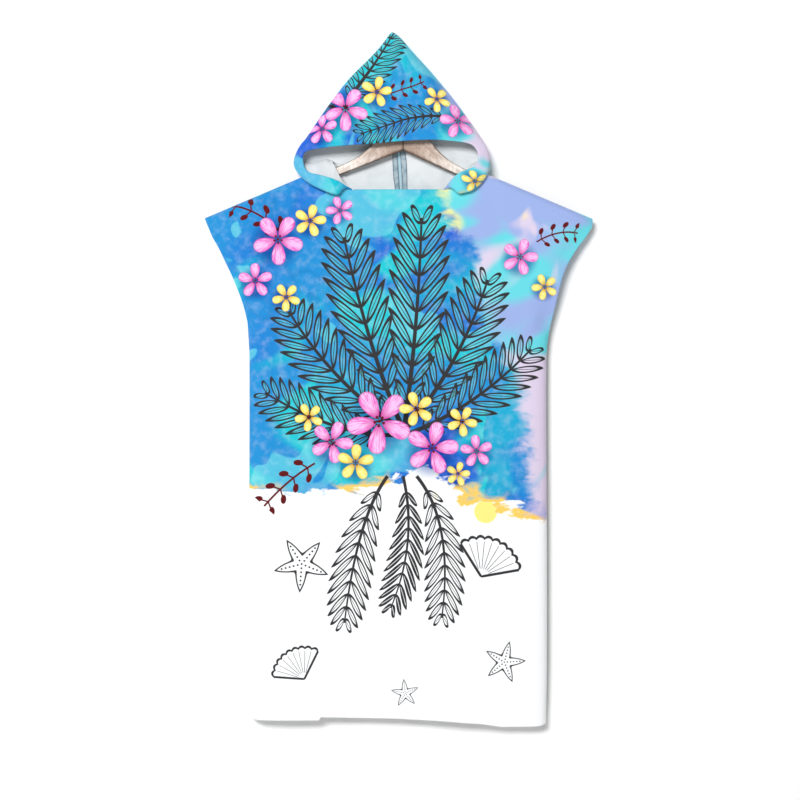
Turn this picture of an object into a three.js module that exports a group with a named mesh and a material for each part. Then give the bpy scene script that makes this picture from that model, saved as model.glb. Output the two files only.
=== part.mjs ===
// Hooded poncho beach towel on a wooden hanger.
//
// Millimetres, +Z up. The front of the towel faces -Y and its left, as seen from the front, is -X.
// The origin is the inside of the hook's crest, where a rail carries the hanger.
//
// Every cloth piece is a wall between two skins of one surface. A surface takes s across the piece
// and t up it, or back from the face on the hood, both from 0 to 1, and gives a point of the printed
// face. Hems and strips are walls of the same surfaces, one cloth thickness further in.

import * as THREE from "three";

// ---- Driving dimensions ----

const WALL = 2; // thickness of the towelling
const SEAM_GAP = 0.3; // between pieces that are sewn together
const REST_GAP = SEAM_GAP * 1.5; // between the hood and the panel that it lies on
const HEM_WALL = 1.5; // thickness of a turned-in hem, pressed flat

const GARMENT_X = -10; // centre line of the garment: it hangs a little to one side of the hook
const NECK_SLOPE = 0.424; // fall of the shoulder line for each millimetre outwards
const SHOULDER = { x: 178, z: -187 }; // one point of the shoulder line
const NECK_POINT = { left: -124, right: 142 }; // where the shoulder line meets the neck seam
const NECKLINE = { left: -89, right: 89, z: -217 }; // ends and height of the straight front neckline
const NAPE_Z = -225; // lowest point of the back neck seam, at the centre
const UNDERARM_Z = -500; // top of the side seams
const TIP_Z = -271; // lowest point of the shoulder line, at the sleeve tip

const SHOULDER_ROUND = 12; // how far below the shoulder seam the cloth has turned down
const SIDE_ROUND = 42; // how far in from the side seam the cloth has turned flat
const SLEEVE_HALF_GAP = 10; // half the gap between the front and back edges of an open sleeve
const SLEEVE_OPENS = 3; // how soon above the underarm the round side becomes an open edge
const SLEEVE_HALF_WIDTH = 347; // from the garment's centre line to the middle of a sleeve's edge
const NECK_PULL = { outwards: 0.68, upwards: 0.26, back: 0.7 }; // roundness of the neck's curves

const BOTTOM_HEM = 25; // widths of the turned-in hems
const SLEEVE_HEM = 18;
const NECK_HEM = 18;
const FACE_HEM = 10.5;

const SEAM_STRIP = { inner: 2, outer: 11, wall: 1 }; // pressed-open allowance at the hood's back

// Half widths of the garment by height: armhole edge down to the underarm, side seam below it.
const EDGES = [
  { z: -1250, left: -289, right: 287 },
  { z: -1150, left: -293, right: 289 },
  { z: -900, left: -289, right: 289 },
  { z: -543, left: -288, right: 288 },
  { z: -500, left: -290, right: 292 },
  { z: -460, left: -293, right: 299 },
  { z: -433, left: -300, right: 305 },
  { z: -408, left: -309, right: 311 },
  { z: -379, left: -321, right: 319 },
  { z: -354, left: -333, right: 330 },
  { z: -327, left: -346, right: 347 },
  { z: -305, left: -359, right: 364 },
  { z: -288, left: -368, right: 376 },
  { z: -271, left: -375, right: 378 },
];

// Height of the bottom edge across the garment, with a short step in the hem at the left.
const HEM_STEP = { outer: -153, inner: -149 };
const HEM_LINE = [
  { x: -290, z: -1229 },
  { x: -284, z: -1238 },
  { x: -272, z: -1241 },
  { x: HEM_STEP.outer, z: -1241 },
  { x: HEM_STEP.inner, z: -1235 },
  { x: 0, z: -1238 },
  { x: 81, z: -1242 },
  { x: 162, z: -1248 },
  { x: 201, z: -1254 },
  { x: 278, z: -1253 },
  { x: 290, z: -1248 },
];

// How far the front and back panels stand off the middle plane by height.
const DEPTHS = [
  { z: -1250, front: 14, back: 12 },
  { z: -1000, front: 16, back: 13 },
  { z: -650, front: 15, back: 14 },
  { z: -400, front: 13, back: 12 },
  { z: -230, front: 11, back: 10 },
  { z: -160, front: 10, back: 10 },
];

// The largest soft folds: where each starts at the hem, how far up it runs, its width and depth.
const FOLDS = [
  { panel: "front", x: -205, reach: 520, width: 46, depth: 3.5 },
  { panel: "front", x: -60, reach: 330, width: 60, depth: -2.5 },
  { panel: "front", x: 118, reach: 610, width: 52, depth: 4 },
  { panel: "front", x: 222, reach: 260, width: 34, depth: -2 },
  { panel: "back", x: -150, reach: 560, width: 55, depth: 4 },
  { panel: "back", x: 20, reach: 380, width: 48, depth: -2.5 },
  { panel: "back", x: 190, reach: 480, width: 44, depth: 3.5 },
];

// Sections of the hood, from the crown (at 0) down one side of the face to the neck (at 1). Each
// runs from the face edge to the outer fold, over the shoulder where it hangs there, and round to
// the centre-back seam. The first three columns are points; rear is the Y and Z of the seam there.
const HOOD_SECTIONS = {
  left: [
    { at: 0.0, face: [-4, -24, -122], fold: [-12, 0, 89], over: [-12, 0, 89], rear: [0, 89] },
    { at: 0.13, face: [-44, -25, -126], fold: [-50, 0, 47], over: [-50, 0, 47], rear: [5, 49] },
    { at: 0.25, face: [-84, -26, -129], fold: [-92, 0, 5], over: [-92, 0, 5], rear: [9, 9] },
    { at: 0.38, face: [-124, -24, -132], fold: [-130, 0, -43], over: [-130, 0, -43], rear: [12, -31] },
    { at: 0.52, face: [-168, -20, -138], fold: [-171, 0, -102], over: [-171, 0, -102], rear: [14, -76] },
    { at: 0.575, face: [-184, -17, -143], fold: [-191, 0, -133], over: [-191, 0, -133], rear: [15, -92] },
    { at: 0.62, face: [-186, -20, -157], fold: [-202, 0, -160], over: [-202, 0, -159], rear: [15, -106] },
    { at: 0.68, face: [-182, -25, -176], fold: [-195, -10, -182], over: [-192, 0, -164], rear: [16, -126] },
    { at: 0.72, face: [-174, -28, -186], fold: [-180, -15, -199], over: [-178, 0, -166], rear: [16, -138] },
    { at: 0.79, face: [-153, -29, -190], fold: [-154, -21, -215], over: [-162, 0, -162], rear: [16, -160] },
    { at: 0.89, face: [-122, -28, -199], fold: [-123, -21, -228], over: [-147, 0, -158], rear: [15, -192] },
    { at: 0.95, face: [-104, -26, -207], fold: [-111, -20, -226], over: [-137, 0, -156], rear: [14, -211] },
  ],
  right: [
    { at: 0.0, face: [-4, -24, -122], fold: [-12, 0, 89], over: [-12, 0, 89], rear: [0, 89] },
    { at: 0.045, face: [8.5, -24.3, -121.3], fold: [4, 0, 81], over: [4, 0, 81], rear: [1.7, 75] },
    { at: 0.13, face: [32, -25, -120], fold: [27, 0, 56], over: [27, 0, 56], rear: [5, 49] },
    { at: 0.25, face: [66, -26, -119], fold: [66, 0, 13], over: [66, 0, 13], rear: [9, 9] },
    { at: 0.38, face: [102, -24, -121], fold: [109, 0, -39], over: [109, 0, -39], rear: [12, -31] },
    { at: 0.52, face: [142, -20, -127], fold: [151, 0, -97], over: [151, 0, -97], rear: [14, -76] },
    { at: 0.575, face: [153, -17, -137], fold: [171, 0, -129], over: [171, 0, -129], rear: [15, -92] },
    { at: 0.63, face: [158, -20, -151], fold: [179, 0, -156], over: [177, 0, -155], rear: [15, -106] },
    { at: 0.7, face: [153, -25, -170], fold: [176, -11, -182], over: [172, 0, -161], rear: [16, -126] },
    { at: 0.76, face: [139, -27, -178], fold: [167, -17, -201], over: [166, 0, -163], rear: [16, -138] },
    { at: 0.84, face: [118, -28, -187], fold: [143, -21, -222], over: [160, 0, -163], rear: [16, -160] },
    { at: 0.93, face: [99, -27, -204], fold: [117, -20, -228], over: [152, 0, -162], rear: [15, -194] },
  ],
};
const HOOD_DEPTH = 222; // cut depth of the hood, from its face edge to its back seam
const HOOD_FLOOR_Y = -15; // how far in front of the shoulder a fold of hood turns under
const HOOD_TURN = 12; // how far forward a fold lies before it turns under in full
const FOLD_ROUND = { front: 52, rear: 26 }; // how far from a fold the hood's cloth lies flat

// Centre-back seam: its ends, half the gap between its edges, and its share beside the tip in which
// they part.
const BACK_SEAM = { tipX: -12, tipZ: 89, napeX: 6.5, gap: SEAM_GAP / 2 + 0.1, parting: 0.05 };
const LAP = WALL + REST_GAP; // how far the hood stands off the back panel that it laps
const NECK_POINT_CLEAR = LAP + 2.6; // the same where it turns over the end of the shoulder seam
const NECK_SETTLES = { front: 0.2, rear: 0.125 }; // share of the neck edge in which it comes down
const STRIP_ENDS = { crown: 0.4, nape: 0.006 }; // where on the hood its seam strips stop

const HANGER = {
  apex: -139, // lower point where the two arms meet
  thickness: 11,
  bevel: 2,
  fall: { left: 0.386, right: 0.45 }, // of each arm's lower edge for each millimetre outwards
  // Height of the arm above its lower edge, by distance from the middle.
  heights: [
    { x: 0.2, height: 47 },
    { x: 17, height: 50 },
    { x: 34, height: 50 },
    { x: 50, height: 45 },
    { x: 60, height: 36 },
    { x: 72, height: 28 },
    { x: 90, height: 21 },
    { x: 112, height: 18 },
    { x: 150, height: 16 },
    { x: 190, height: 13 },
    { x: 212, height: 8 },
  ],
  droop: { from: 130, over: 85, drop: 9 }, // the end of an arm curves below its straight line
  steps: { upper: 22, lower: 12 }, // in which the two edges of an arm are drawn
};

// The hook's round runs between two angles in half turns; its shank bends aside below them.
const HOOK = { wire: 1.8, radius: 20, foot: -91.6, bend: 14, pull: 0.6, from: -0.3, to: 1.12 };
const HOOK_STEPS = { round: 18, path: 36, section: 5 }; // how finely the wire is worked out

// ---- Small helpers ----

const clamp01 = (v) => Math.min(Math.max(v, 0), 1);
const lerp = (a, b, t) => a + (b - a) * t;

/** A soft step from 0 to 1. */
const ease = (v) => clamp01(v) ** 2 * (3 - 2 * clamp01(v));

/** A quarter circle's rise, from 0 at the edge to 1 at the given reach. */
const quarter = (distance, reach) => Math.sqrt(1 - (1 - clamp01(distance / reach)) ** 2);

/** A point of the curve that leaves `from` towards `pull` and reaches `to` from there. */
const bend = (from, pull, to, t) => ({
  x: lerp(lerp(from.x, pull.x, t), lerp(pull.x, to.x, t), t),
  z: lerp(lerp(from.z, pull.z, t), lerp(pull.z, to.z, t), t),
});

/** Smooth value of one column of a table at a key, by cubic Hermite through its rows. */
function column(table, key, name, at) {
  const last = table.length - 1;
  let i = table.findIndex((row) => row[key] > at) - 1;
  if (i === -2) i = last - 1;
  i = Math.min(Math.max(i, 0), last - 1);
  const slope = (j) => {
    const before = table[Math.max(j - 1, 0)];
    const after = table[Math.min(j + 1, last)];
    return (after[name] - before[name]) / (after[key] - before[key]);
  };
  const span = table[i + 1][key] - table[i][key];
  const t = clamp01((at - table[i][key]) / span);
  const start = table[i][name];
  const rise = table[i + 1][name] - start;
  const from = slope(i) * span;
  const to = slope(i + 1) * span;
  return start + t * (from + t * (3 * rise - 2 * from - to + t * (from + to - 2 * rise)));
}

/** The same for a column that holds lists: one smooth value for each of their places. */
const columnList = (table, key, name, at) =>
  table[0][name].map((_, place) => {
    const single = table.map((row) => ({ key: row[key], value: row[name][place] }));
    return column(single, "key", "value", at);
  });

/** Straight-line value of one column of a table, for edges that have real corners. */
function straight(table, key, name, at) {
  const next = table.findIndex((row) => row[key] > at);
  if (next === 0) return table[0][name];
  if (next === -1) return table[table.length - 1][name];
  const a = table[next - 1];
  const b = table[next];
  return lerp(a[name], b[name], (at - a[key]) / (b[key] - a[key]));
}

/** Values from 0 to 1, evenly spaced. */
const even = (count) => Array.from({ length: count + 1 }, (_, i) => i / count);

/** An even run of values with some of its own put in, in place of any that lie close to them. */
function withOwn(run, own) {
  const close = 0.012;
  const kept = run.filter((value) => own.every((other) => Math.abs(value - other) > close));
  return [...kept, ...own].sort((a, b) => a - b);
}

/** Those values of a run that lie between two others. */
const between = (run, low, high) => run.filter((value) => value > low - 1e-9 && value < high + 1e-9);

/** Outward normal of a surface, from points a small step away. */
function normalAt(surface, s, t) {
  const step = 2e-3;
  const across = surface(clamp01(s + step), t).sub(surface(clamp01(s - step), t));
  const up = surface(s, clamp01(t + step)).sub(surface(s, clamp01(t - step)));
  return across.cross(up).normalize();
}

/**
 * A closed wall between two skins of a surface, at depths `outer` and `inner` below the printed
 * face. `settle` may move a skin point, to keep it on its own side of a seam.
 */
function wall(surface, columns, rows, outer, inner, settle = (point) => point) {
  const positions = [];
  const skin = (depth) =>
    rows.forEach((t) =>
      columns.forEach((s) => {
        const face = surface(s, t);
        const point = face.clone().addScaledVector(normalAt(surface, s, t), -depth);
        positions.push(...settle(point, face, t).toArray());
      }),
    );
  skin(outer);
  skin(inner);
  const across = columns.length;
  const layer = across * rows.length;
  const faces = [];
  for (let r = 0; r + 1 < rows.length; r++)
    for (let c = 0; c + 1 < across; c++) {
      const i = r * across + c;
      // The diagonals of the two halves mirror each other, and both skins share them.
      const corners = [i, i + 1, i + 1 + across, i + across];
      if (columns[c] >= 0.5) corners.push(corners.shift());
      const [a, b, d, e] = corners;
      faces.push(a, b, d, a, d, e);
      faces.push(layer + a, layer + d, layer + b, layer + a, layer + e, layer + d);
    }
  const rim = [];
  for (let c = 0; c < across; c++) rim.push(c);
  for (let r = 1; r < rows.length; r++) rim.push(r * across + across - 1);
  for (let c = across - 2; c >= 0; c--) rim.push(layer - across + c);
  for (let r = rows.length - 2; r > 0; r--) rim.push(r * across);
  rim.forEach((a, i) => {
    const b = rim[(i + 1) % rim.length];
    faces.push(a, layer + a, layer + b, a, layer + b, b);
  });
  const geometry = new THREE.BufferGeometry();
  geometry.setAttribute("position", new THREE.Float32BufferAttribute(positions, 3));
  geometry.setIndex(faces);
  return geometry;
}

/** A hem: the wall of a doubled edge, inside the cloth of the same surface. */
const hemOf = (surface, columns, rows, settle) =>
  wall(surface, columns, rows, WALL + SEAM_GAP, WALL + SEAM_GAP + HEM_WALL, settle);

// ---- Body panels ----

const shoulderZ = (x) => SHOULDER.z - (Math.abs(x) - SHOULDER.x) * NECK_SLOPE;
const neckPoint = (side) => ({ x: NECK_POINT[side], z: shoulderZ(NECK_POINT[side]) });

// How far along the top edge from a sleeve tip the neck point and the front neckline's end lie.
const NECK_S = 0.25;
const FRONT_CORNER_S = 0.36;

/** Top edge of a panel, from one sleeve tip at s = 0 to the other: shoulder, neckline, shoulder. */
function topEdge(panel, s) {
  const side = s < 0.5 ? "left" : "right";
  const from = Math.min(s, 1 - s);
  const neck = neckPoint(side);
  if (from <= NECK_S) {
    const x = lerp(column(EDGES, "z", side, TIP_Z), neck.x, from / NECK_S);
    return { x, z: shoulderZ(x) };
  }
  const corner = NECKLINE[side];
  if (panel === "back") {
    const nape = { x: BACK_SEAM.napeX, z: NAPE_Z };
    const pull = { x: neck.x * NECK_PULL.back, z: NAPE_Z };
    return bend(neck, pull, nape, (from - NECK_S) / (0.5 - NECK_S));
  }
  if (from < FRONT_CORNER_S) {
    const pull = {
      x: lerp(corner, neck.x, NECK_PULL.outwards),
      z: lerp(NECKLINE.z, neck.z, NECK_PULL.upwards),
    };
    const share = (from - NECK_S) / (FRONT_CORNER_S - NECK_S);
    return bend(neck, pull, { x: corner, z: NECKLINE.z }, share);
  }
  const middle = (NECKLINE.left + NECKLINE.right) / 2;
  const share = (from - FRONT_CORNER_S) / (0.5 - FRONT_CORNER_S);
  return { x: lerp(corner, middle, share), z: NECKLINE.z };
}

/** A point of the side edge at t: the side seam up to SLEEVE_T, then the edge of the sleeve. */
const SLEEVE_T = 0.6;
function sideEdge(side, t) {
  const foot = side === "left" ? HEM_LINE[0].z : HEM_LINE[HEM_LINE.length - 1].z;
  const tip = shoulderZ(column(EDGES, "z", side, TIP_Z));
  const z =
    t < SLEEVE_T
      ? lerp(foot, UNDERARM_Z, t / SLEEVE_T)
      : lerp(UNDERARM_Z, tip, (t - SLEEVE_T) / (1 - SLEEVE_T));
  return { x: column(EDGES, "z", side, z), z };
}

/** A point of the bottom edge, as far along it as the top edge's point at the same s. */
function hemEdge(panel, s) {
  const side = s < 0.5 ? "left" : "right";
  const tip = topEdge(panel, side === "left" ? 0 : 1);
  const x = (topEdge(panel, s).x / tip.x) * sideEdge(side, 0).x;
  return { x, z: straight(HEM_LINE, "x", "z", x) };
}

/** Plan of a panel in X and Z: a patch blended between its top, bottom and side edges. */
function panelPlan(panel, s, t) {
  const top = topEdge(panel, s);
  const hem = hemEdge(panel, s);
  const left = sideEdge("left", t);
  const right = sideEdge("right", t);
  const corners = [sideEdge("left", 0), sideEdge("right", 0), topEdge(panel, 0), topEdge(panel, 1)];
  const blend = (axis) =>
    lerp(hem[axis], top[axis], t) +
    lerp(left[axis], right[axis], s) -
    lerp(
      lerp(corners[0][axis], corners[1][axis], s),
      lerp(corners[2][axis], corners[3][axis], s),
      t,
    );
  return { x: blend("x"), z: blend("z") };
}

/** Depth of the soft folds of one panel at a point. They lean inwards and fade as they rise. */
function foldDepth(panel, x, z) {
  const lean = 0.15;
  const fade = 1.5;
  return FOLDS.filter((fold) => fold.panel === panel).reduce((sum, fold) => {
    const up = clamp01((z - HEM_LINE[0].z) / fold.reach);
    const away = (x - fold.x * (1 - lean * up)) / fold.width;
    return sum + fold.depth * Math.exp(-away * away) * (1 - up) ** fade;
  }, 0);
}

/** Printed face of the front or back panel. */
const panelSurface = (panel) => (s, t) => {
  const { x, z } = panelPlan(panel, s, t);
  const inFromLeft = x - column(EDGES, "z", "left", z);
  const inFromRight = column(EDGES, "z", "right", z) - x;
  const inFromSide = Math.min(inFromLeft, inFromRight);
  const opening = Math.sin(Math.PI * clamp01((z - UNDERARM_Z) / (TIP_Z - UNDERARM_Z)));
  const full = column(DEPTHS, "z", panel, z) + foldDepth(panel, x, z);
  // A closed side rounds over to its seam, and the cloth of an open sleeve lies nearly flat.
  const closed = quarter(inFromSide, SIDE_ROUND);
  const open = ease(inFromSide / SIDE_ROUND);
  const rise = lerp(closed, open, clamp01(opening * SLEEVE_OPENS));
  const spread = lerp(SLEEVE_HALF_GAP * opening, full, rise);
  const below = shoulderZ(x) - z - SEAM_GAP;
  const depth = SEAM_GAP / 2 + spread * quarter(below, SHOULDER_ROUND);
  return new THREE.Vector3(x, panel === "front" ? -depth : depth, z);
};

/** The surface as the wall maker needs it, with its normal facing away from the body. */
const outward = (panel) => {
  const surface = panelSurface(panel);
  return panel === "front" ? surface : (s, t) => surface(1 - s, t);
};

/** Keeps each skin of a panel on its own side of the middle plane. */
const ownSide = (panel) => (point) => {
  const limit = SEAM_GAP / 2;
  point.y = panel === "front" ? Math.min(point.y, -limit) : Math.max(point.y, limit);
  return point;
};

/** The s of a point on the hem of the front panel at a given X. */
function hemShare(x) {
  const surface = panelSurface("front");
  const halvings = 30;
  let low = 0;
  let high = 1;
  for (let i = 0; i < halvings; i++) {
    const middle = (low + high) / 2;
    if (surface(middle, 0).x < x) low = middle;
    else high = middle;
  }
  return high;
}

// Columns of the panels: even, with more at the sleeve hems, the neck's turns and the hem's step.
const SLEEVE_HEM_S = SLEEVE_HEM / (2 * SLEEVE_HALF_WIDTH);
const STEP_S = [hemShare(HEM_STEP.outer), hemShare(HEM_STEP.inner)];
const NECK_CORNERS = [FRONT_CORNER_S, 1 - FRONT_CORNER_S];
const NECK_TURN = [0, 0.003, 0.009, 0.02].flatMap((past) => [NECK_S + past, 1 - NECK_S - past]);
const EDGE_S = [0, 1, SLEEVE_HEM_S, 1 - SLEEVE_HEM_S, ...NECK_TURN];
const PANEL_COLUMNS = {
  front: withOwn(even(16), [...EDGE_S, ...NECK_CORNERS, ...STEP_S]),
  back: withOwn(even(16), EDGE_S),
};

// Rows of the panels: even, with one at each hem's inner edge and more at the shoulder's turn.
const BOTTOM_HEM_T = (BOTTOM_HEM / (UNDERARM_Z - HEM_LINE[0].z)) * SLEEVE_T;
const NECK_HEM_T = 1 - NECK_HEM / (NECKLINE.z - straight(HEM_LINE, "x", "z", 0));
const SHOULDER_TURN = [0.99, 0.996, 0.999];
const PANEL_ROWS = withOwn(even(14), [0, BOTTOM_HEM_T, NECK_HEM_T, ...SHOULDER_TURN, 1]);

// The hems stop short of the seams: the bottom ones at the sides, the sleeve ones at both ends.
const BOTTOM_HEM_RUN = [0.03, 0.97];
const SLEEVE_HEM_RUN = [SLEEVE_T + 0.04, 0.95];

// ---- Hood ----

// How finely the sections of the hood are worked out.
const CHAIN_STEPS = 16;
const NECK_STEPS = 24;
const JOINED_STEPS = 32;

/**
 * One section of the hood as two chains of points: `front` from the face edge to the outer fold and
 * on over the shoulder, `rear` from there to the back seam. Both are finer beside the folds.
 */
function hoodSection(side, at) {
  const point = (name) => new THREE.Vector3(...columnList(HOOD_SECTIONS[side], "at", name, at));
  const face = point("face");
  const fold = point("fold");
  const over = point("over");
  const [rearY, rearZ] = columnList(HOOD_SECTIONS[side], "at", "rear", at);
  const nape = new THREE.Vector3(backSeamX(side, rearZ), rearY, rearZ);
  const shares = even(CHAIN_STEPS);
  const front = shares
    .slice(0, -1)
    .map((share) => roundFrom(fold, face, (1 - share) ** 2, FOLD_ROUND.front));
  const floor = HOOD_FLOOR_Y * clamp01(-fold.y / HOOD_TURN);
  for (const share of shares) {
    const turn = share * Math.PI;
    const plan = fold.clone().lerp(over, (1 - Math.cos(turn)) / 2);
    plan.y = lerp(share < 0.5 ? fold.y : 0, floor, Math.sin(turn));
    front.push(plan);
  }
  const rear = shares.map((share) => roundFrom(over, nape, share ** 2, FOLD_ROUND.rear));
  return { front, rear };
}

/** A point at a share of the way from a fold, where the cloth turns over, to a flat end. */
function roundFrom(fold, end, share, reach) {
  const length = Math.max(fold.distanceTo(end), 1e-6);
  const point = fold.clone().lerp(end, share);
  point.y = lerp(fold.y, end.y, quarter(share * length, Math.min(reach, length)));
  return point;
}

/** X of the hood's back seam edge on one side at a height. Its two edges meet at the tip. */
function backSeamX(side, z) {
  const down = (BACK_SEAM.tipZ - z) / (BACK_SEAM.tipZ - NAPE_Z);
  const gap = BACK_SEAM.gap * clamp01(down / BACK_SEAM.parting);
  return lerp(BACK_SEAM.tipX, BACK_SEAM.napeX, down) + (side === "left" ? -gap : gap);
}

/**
 * The neck edge of the hood, along the body's neck edge: its printed face lies on the front of the
 * shoulder, turns over the end of the shoulder seam, and laps outside the back panel.
 */
function neckSection(side) {
  const beside = (panel, from, clear) => {
    const s = side === "left" ? from : 1 - from;
    const normal = normalAt(outward(panel), panel === "front" ? s : 1 - s, 1);
    return panelSurface(panel)(s, 1).addScaledVector(normal, clear);
  };
  const front = even(NECK_STEPS).map((share) => {
    const past = (1 - share) ** 2;
    const clear = lerp(NECK_POINT_CLEAR, REST_GAP, clamp01(past / NECK_SETTLES.front));
    return beside("front", lerp(NECK_S, FRONT_CORNER_S, past), clear);
  });
  const rear = even(NECK_STEPS).map((share) => {
    const past = share ** 2;
    const clear = lerp(NECK_POINT_CLEAR, LAP, clamp01(past / NECK_SETTLES.rear));
    return beside("back", lerp(NECK_S, 0.5, past), clear);
  });
  front[NECK_STEPS].y = 0;
  rear[0].copy(front[NECK_STEPS]);
  rear[NECK_STEPS].x = backSeamX(side, NAPE_Z);
  return { front, rear };
}

/** The point at a share of the way along a chain of points. */
function pointAlong(points, share) {
  const lengths = [0];
  for (let i = 1; i < points.length; i++) {
    lengths.push(lengths[i - 1] + points[i].distanceTo(points[i - 1]));
  }
  const target = share * lengths[lengths.length - 1];
  let i = lengths.findIndex((length) => length >= target);
  if (i <= 0) i = 1;
  const t = clamp01((target - lengths[i - 1]) / Math.max(lengths[i] - lengths[i - 1], 1e-9));
  return points[i - 1].clone().lerp(points[i], t);
}

const neckSections = { left: neckSection("left"), right: neckSection("right") };
const chains = new Map();

/** Chain of the hood's section at u, from -1 at the left neck edge to 1 at the right one. */
function hoodChain(u) {
  const key = u.toFixed(6);
  if (!chains.has(key)) {
    const side = u < 0 ? "left" : "right";
    const lastAt = HOOD_SECTIONS[side].at(-1).at;
    const section = hoodSection(side, Math.min(Math.abs(u), lastAt));
    const toNeck = clamp01((Math.abs(u) - lastAt) / (1 - lastAt));
    const part = (name) =>
      even(JOINED_STEPS).map((share) => {
        const neck = pointAlong(neckSections[side][name], share);
        return pointAlong(section[name], share).lerp(neck, toNeck);
      });
    const joined = toNeck > 0 ? { front: part("front"), rear: part("rear") } : section;
    chains.set(key, [...joined.front, ...joined.rear.slice(1)]);
  }
  return chains.get(key);
}

/** Printed face of the hood: s runs from its left neck edge over the crown, t from face to back. */
const hoodSurface = (s, t) => pointAlong(hoodChain(2 * s - 1), t);

/** Keeps the two edges of the back seam apart. */
const besideBackSeam = (point, face, t) => {
  if (t === 1) point.x = face.x;
  return point;
};

// Columns and rows of the hood, with their own at the ends of the seam strips, at the inner edge
// of the face hem and beside the back seam.
const HOOD_COLUMNS = withOwn(even(36), [0, STRIP_ENDS.nape, 1 - STRIP_ENDS.nape, 1]);
const FACE_HEM_RUN = [0.05, 0.95];
const FACE_HEM_T = FACE_HEM / HOOD_DEPTH;
const STRIP_T = [1 - SEAM_STRIP.outer / HOOD_DEPTH, 1 - SEAM_STRIP.inner / HOOD_DEPTH];
const HOOD_ROWS = withOwn(even(18), [0, FACE_HEM_T, ...STRIP_T, 1]);

// ---- Hanger ----

/** One wooden arm, from the joint in the middle to its round end, flat and of even thickness. */
function hangerArm(side) {
  const { heights, droop, bevel, thickness, steps } = HANGER;
  const first = heights[0].x;
  const last = heights.at(-1).x;
  const lower = (x) =>
    HANGER.apex - x * HANGER.fall[side] - droop.drop * Math.max(0, (x - droop.from) / droop.over) ** 2;
  const upperEdge = even(steps.upper).map((share) => {
    const x = lerp(first, last, share);
    return new THREE.Vector2(x, lower(x) + column(heights, "x", "height", x));
  });
  const lowerEdge = even(steps.lower).map((share) => {
    const x = lerp(last, first, share);
    return new THREE.Vector2(x, lower(x));
  });
  const geometry = new THREE.ExtrudeGeometry(new THREE.Shape([...upperEdge, ...lowerEdge]), {
    depth: thickness - 2 * bevel,
    bevelEnabled: true,
    bevelThickness: bevel,
    bevelSize: bevel,
    bevelOffset: -bevel,
    bevelSegments: 2,
    steps: 1,
  });
  geometry.translate(0, 0, bevel - thickness / 2);
  geometry.rotateX(Math.PI / 2);
  if (side === "left") geometry.rotateZ(Math.PI);
  return geometry;
}

/** Steel hook: a shank in the middle of the hanger that bends aside and round under its crest. */
function hangerHook() {
  const ring = HOOK.radius + HOOK.wire;
  const pull = HOOK.bend * HOOK.pull;
  const onRing = (halfTurns) => {
    const angle = halfTurns * Math.PI;
    return new THREE.Vector3(ring * Math.cos(angle), 0, ring * Math.sin(angle) - HOOK.radius);
  };
  const start = HOOK.from * Math.PI;
  const tangent = new THREE.Vector3(-Math.sin(start), 0, Math.cos(start));
  const foot = new THREE.Vector3(0, 0, HOOK.foot);
  const neck = new THREE.Vector3(0, 0, -HOOK.radius - ring - HOOK.bend);
  const above = neck.clone().add(new THREE.Vector3(0, 0, pull));
  const joint = onRing(HOOK.from);
  const before = joint.clone().addScaledVector(tangent, -pull);
  const round = even(HOOK_STEPS.round).map((share) => onRing(lerp(HOOK.from, HOOK.to, share)));
  const path = new THREE.CurvePath();
  path.add(new THREE.LineCurve3(foot, neck));
  path.add(new THREE.CubicBezierCurve3(neck, above, before, joint));
  path.add(new THREE.CatmullRomCurve3(round));
  const section = new THREE.Shape();
  section.absarc(0, 0, HOOK.wire, 0, 2 * Math.PI);
  return new THREE.ExtrudeGeometry(section, {
    steps: HOOK_STEPS.path,
    curveSegments: HOOK_STEPS.section,
    extrudePath: path,
    bevelEnabled: false,
  });
}

// ---- Materials and assembly ----

const material = (colour, roughness, metalness = 0) =>
  new THREE.MeshStandardMaterial({ color: new THREE.Color(...colour), roughness, metalness });

const printedCloth = material([0.25, 0.6, 0.85], 0.9);
const plainCloth = material([0.88, 0.89, 0.91], 0.95);
const wood = material([0.72, 0.58, 0.48], 0.6);
const steel = material([0.6, 0.61, 0.63], 0.3, 1);

const towel = new THREE.Group();
const garment = new THREE.Group();
garment.position.x = GARMENT_X;
towel.add(garment);

function add(group, name, geometry, look) {
  const mesh = new THREE.Mesh(geometry, look);
  mesh.name = name;
  group.add(mesh);
}

for (const panel of ["front", "back"]) {
  const surface = outward(panel);
  const keep = ownSide(panel);
  // The back panel's surface runs the other way, so its columns are counted from the other side.
  const own = PANEL_COLUMNS[panel];
  const columns = panel === "front" ? own : own.map((s) => 1 - s).reverse();
  add(garment, `body_${panel}`, wall(surface, columns, PANEL_ROWS, 0, WALL, keep), printedCloth);

  const hemColumns = between(columns, ...BOTTOM_HEM_RUN);
  const hemRows = between(PANEL_ROWS, 0, BOTTOM_HEM_T);
  add(garment, `hem_${panel}`, hemOf(surface, hemColumns, hemRows, keep), printedCloth);

  const sleeveRows = between(PANEL_ROWS, ...SLEEVE_HEM_RUN);
  for (const side of ["left", "right"]) {
    const low = (side === "left") === (panel === "front");
    const run = low ? [0, SLEEVE_HEM_S] : [1 - SLEEVE_HEM_S, 1];
    const hem = hemOf(surface, between(columns, ...run), sleeveRows, keep);
    add(garment, `sleeve_hem_${panel}_${side}`, hem, printedCloth);
  }
}

const neckColumns = between(PANEL_COLUMNS.front, ...NECK_CORNERS);
const neckRows = between(PANEL_ROWS, NECK_HEM_T, 1);
add(garment, "neck_hem", hemOf(outward("front"), neckColumns, neckRows), printedCloth);

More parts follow.
